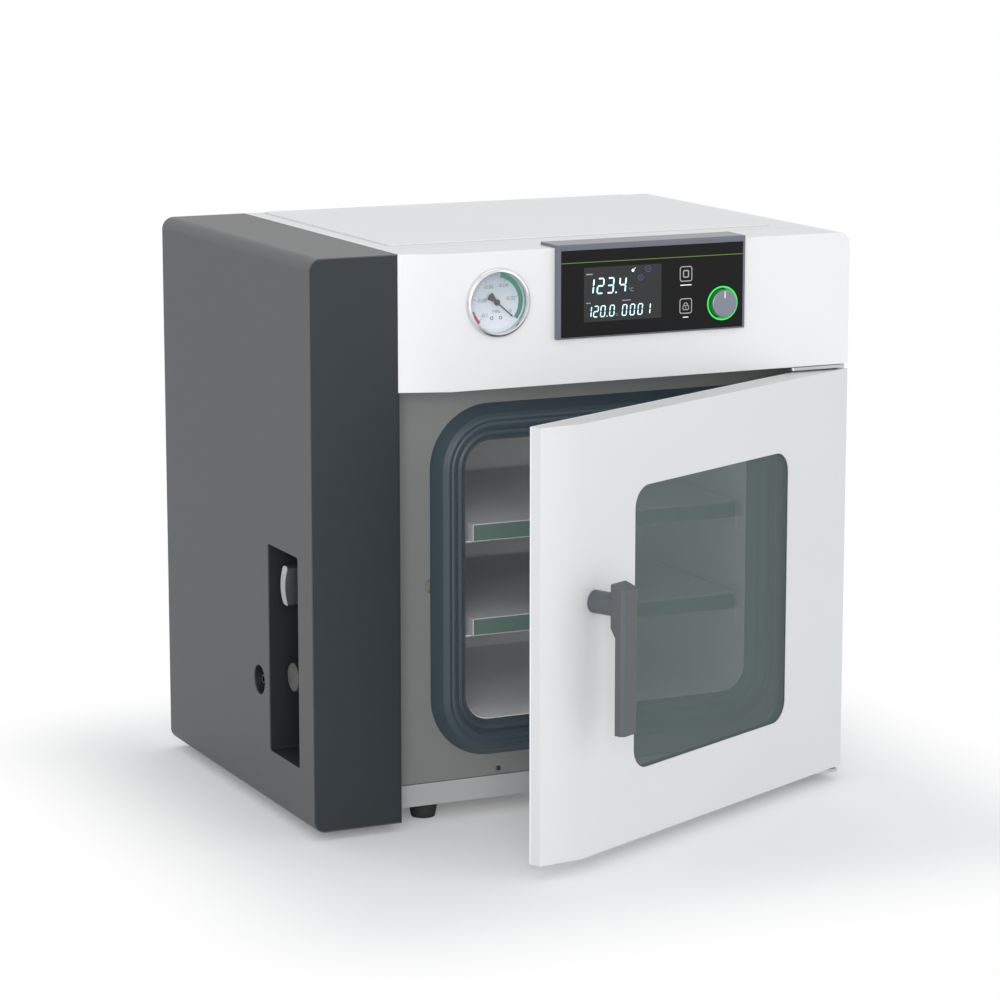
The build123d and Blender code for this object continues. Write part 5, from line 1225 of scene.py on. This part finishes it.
# ------------------------------------------------------------------ studio
@dataclass
class Studio:
    """Floor, lights, world and camera."""

    camera_place: Point3 = (-1.5882, -3.2894, 0.9719)
    yaw: float = 25.18
    pitch: float = 10.76
    sensor: float = 36.0
    focal_widths: float = 3.542
    floor_size: float = 14.0
    floor_colour: Colour = (0.93, 0.93, 0.93)
    fade_reach: float = 0.24
    fade_least: float = 0.16
    lamps: tuple[tuple[str, Point3, Point3, float, float], ...] = (
        ("key", (-1.75, -3.4, 1.15), (0, 0, 0.25), 1.7, 52.0),
        ("fill", (2.6, -2.8, 1.6), (0, 0, 0.3), 2.5, 14.0),
        ("top", (0.0, 0.3, 3.2), (0, 0, 0.3), 2.0, 6.0),
    )

    def build(self) -> None:
        """Sets up the whole studio."""
        self._camera()
        self._floor()
        self._world()
        for lamp in self.lamps:
            self._area(*lamp)
        bpy.context.scene.view_settings.view_transform = "Standard"

    def _camera(self) -> None:
        """The camera, in front of the oven's left corner and a little above it."""
        data = bpy.data.cameras.new("camera")
        data.lens = self.focal_widths * self.sensor
        data.sensor_width = self.sensor
        camera = bpy.data.objects.new("camera", data)
        camera.location = self.camera_place
        camera.rotation_euler = (
            math.radians(90 - self.pitch),
            0,
            math.radians(-self.yaw),
        )
        bpy.context.scene.collection.objects.link(camera)
        bpy.context.scene.camera = camera

    def _floor(self) -> None:
        """A pale floor that takes the shadow and fades to plain white further away."""
        low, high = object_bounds()
        mesh = bpy.data.meshes.new("floor")
        size = self.floor_size
        mesh.from_pydata(
            [(-size, -size, 0), (size, -size, 0), (size, size, 0), (-size, size, 0)],
            [],
            [(0, 1, 2, 3)],
        )
        floor = bpy.data.objects.new("floor", mesh)
        bpy.context.scene.collection.objects.link(floor)
        graph = Graph("floor_paper")
        paper = graph.noise(300.0, 2.0)
        graph.tint(paper, "Fac", shade(self.floor_colour, 0.99), self.floor_colour)
        graph.set(Roughness=0.95, Specular_IOR_Level=0.05)
        place = graph.tree.nodes.new("ShaderNodeTexCoord")
        shifted = graph.node("VectorMath", operation="SUBTRACT")
        shifted.inputs[1].default_value = ((low[0] + high[0]) / 2, (low[1] + high[1]) / 2, 0)
        graph.link(place, "Object", shifted, 0)
        folded = graph.node("VectorMath", operation="ABSOLUTE")
        graph.link(shifted, "Vector", folded, 0)
        beyond = graph.node("VectorMath", operation="SUBTRACT")
        beyond.inputs[1].default_value = ((high[0] - low[0]) / 2, (high[1] - low[1]) / 2, 1)
        graph.link(folded, "Vector", beyond, 0)
        outside = graph.node("VectorMath", operation="MAXIMUM")
        outside.inputs[1].default_value = (0, 0, 0)
        graph.link(beyond, "Vector", outside, 0)
        distance = graph.node("VectorMath", operation="LENGTH")
        graph.link(outside, "Vector", distance, 0)
        fade = graph.node("MapRange", interpolation_type="SMOOTHSTEP")
        fade.inputs["From Max"].default_value = self.fade_reach
        fade.inputs["To Min"].default_value = self.fade_least
        graph.link(distance, "Value", fade, "Value")
        path = graph.node("LightPath")
        seen = graph.node("Math", operation="MULTIPLY")
        graph.link(fade, "Result", seen, 0)
        graph.link(path, "Is Camera Ray", seen, 1)
        white = graph.node("Emission", Color=(1, 1, 1, 1), Strength=1.0)
        mix = graph.node("MixShader")
        graph.link(seen, "Value", mix, 0)
        graph.link(graph.shader, "BSDF", mix, 1)
        graph.link(white, "Emission", mix, 2)
        graph.link(mix, "Shader", graph.output, "Surface")
        mesh.materials.append(graph.material)
        floor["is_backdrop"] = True

    @staticmethod
    def _world() -> None:
        """White for the camera and reflections, softer as a light."""
        world = bpy.data.worlds.new("studio")
        bpy.context.scene.world = world
        world.use_nodes = True
        tree = world.node_tree
        tree.nodes.clear()
        output = tree.nodes.new("ShaderNodeOutputWorld")
        seen = tree.nodes.new("ShaderNodeBackground")
        seen.inputs["Color"].default_value = (1, 1, 1, 1)
        seen.inputs["Strength"].default_value = 1.0
        ambient = tree.nodes.new("ShaderNodeBackground")
        ambient.inputs["Color"].default_value = (0.96, 0.98, 1, 1)
        ambient.inputs["Strength"].default_value = 0.72
        path = tree.nodes.new("ShaderNodeLightPath")
        direct = tree.nodes.new("ShaderNodeMath")
        direct.operation = "MAXIMUM"
        mix = tree.nodes.new("ShaderNodeMixShader")
        either = tree.nodes.new("ShaderNodeMath")
        either.operation = "MAXIMUM"
        tree.links.new(path.outputs["Is Camera Ray"], direct.inputs[0])
        tree.links.new(path.outputs["Is Glossy Ray"], direct.inputs[1])
        tree.links.new(direct.outputs[0], either.inputs[0])
        tree.links.new(path.outputs["Is Transmission Ray"], either.inputs[1])
        tree.links.new(either.outputs[0], mix.inputs[0])
        tree.links.new(ambient.outputs[0], mix.inputs[1])
        tree.links.new(seen.outputs[0], mix.inputs[2])
        tree.links.new(mix.outputs[0], output.inputs["Surface"])

    @staticmethod
    def _area(
        name: str,
        place: Point3,
        target: Point3,
        size: float,
        power: float,
    ) -> None:
        """Adds one square soft light aimed at a target."""
        data = bpy.data.lights.new(name, "AREA")
        data.size = size
        data.energy = power
        lamp = bpy.data.objects.new(name, data)
        lamp.location = place
        aim = Vector(target) - Vector(place)
        lamp.rotation_euler = aim.to_track_quat("-Z", "Y").to_euler()
        bpy.context.scene.collection.objects.link(lamp)


# ------------------------------------------------------------------ main
def main() -> None:
    logging.basicConfig(level=logging.INFO, format="%(name)s: %(message)s")
    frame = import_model()
    materials = MaterialLibrary()
    Studio().build()
    CadFinish(materials, frame["nodes"]).build()
    for maker in (
        SealPiece(materials),
        ShelfLipShade(materials),
        GaugePrint(materials),
        PanelPrint(materials),
        DialMark(materials),
        ScrewHeads(materials),
    ):
        maker.build()
        LOG.info("built %s", type(maker).__name__)


if __name__ == "__main__":
    main()
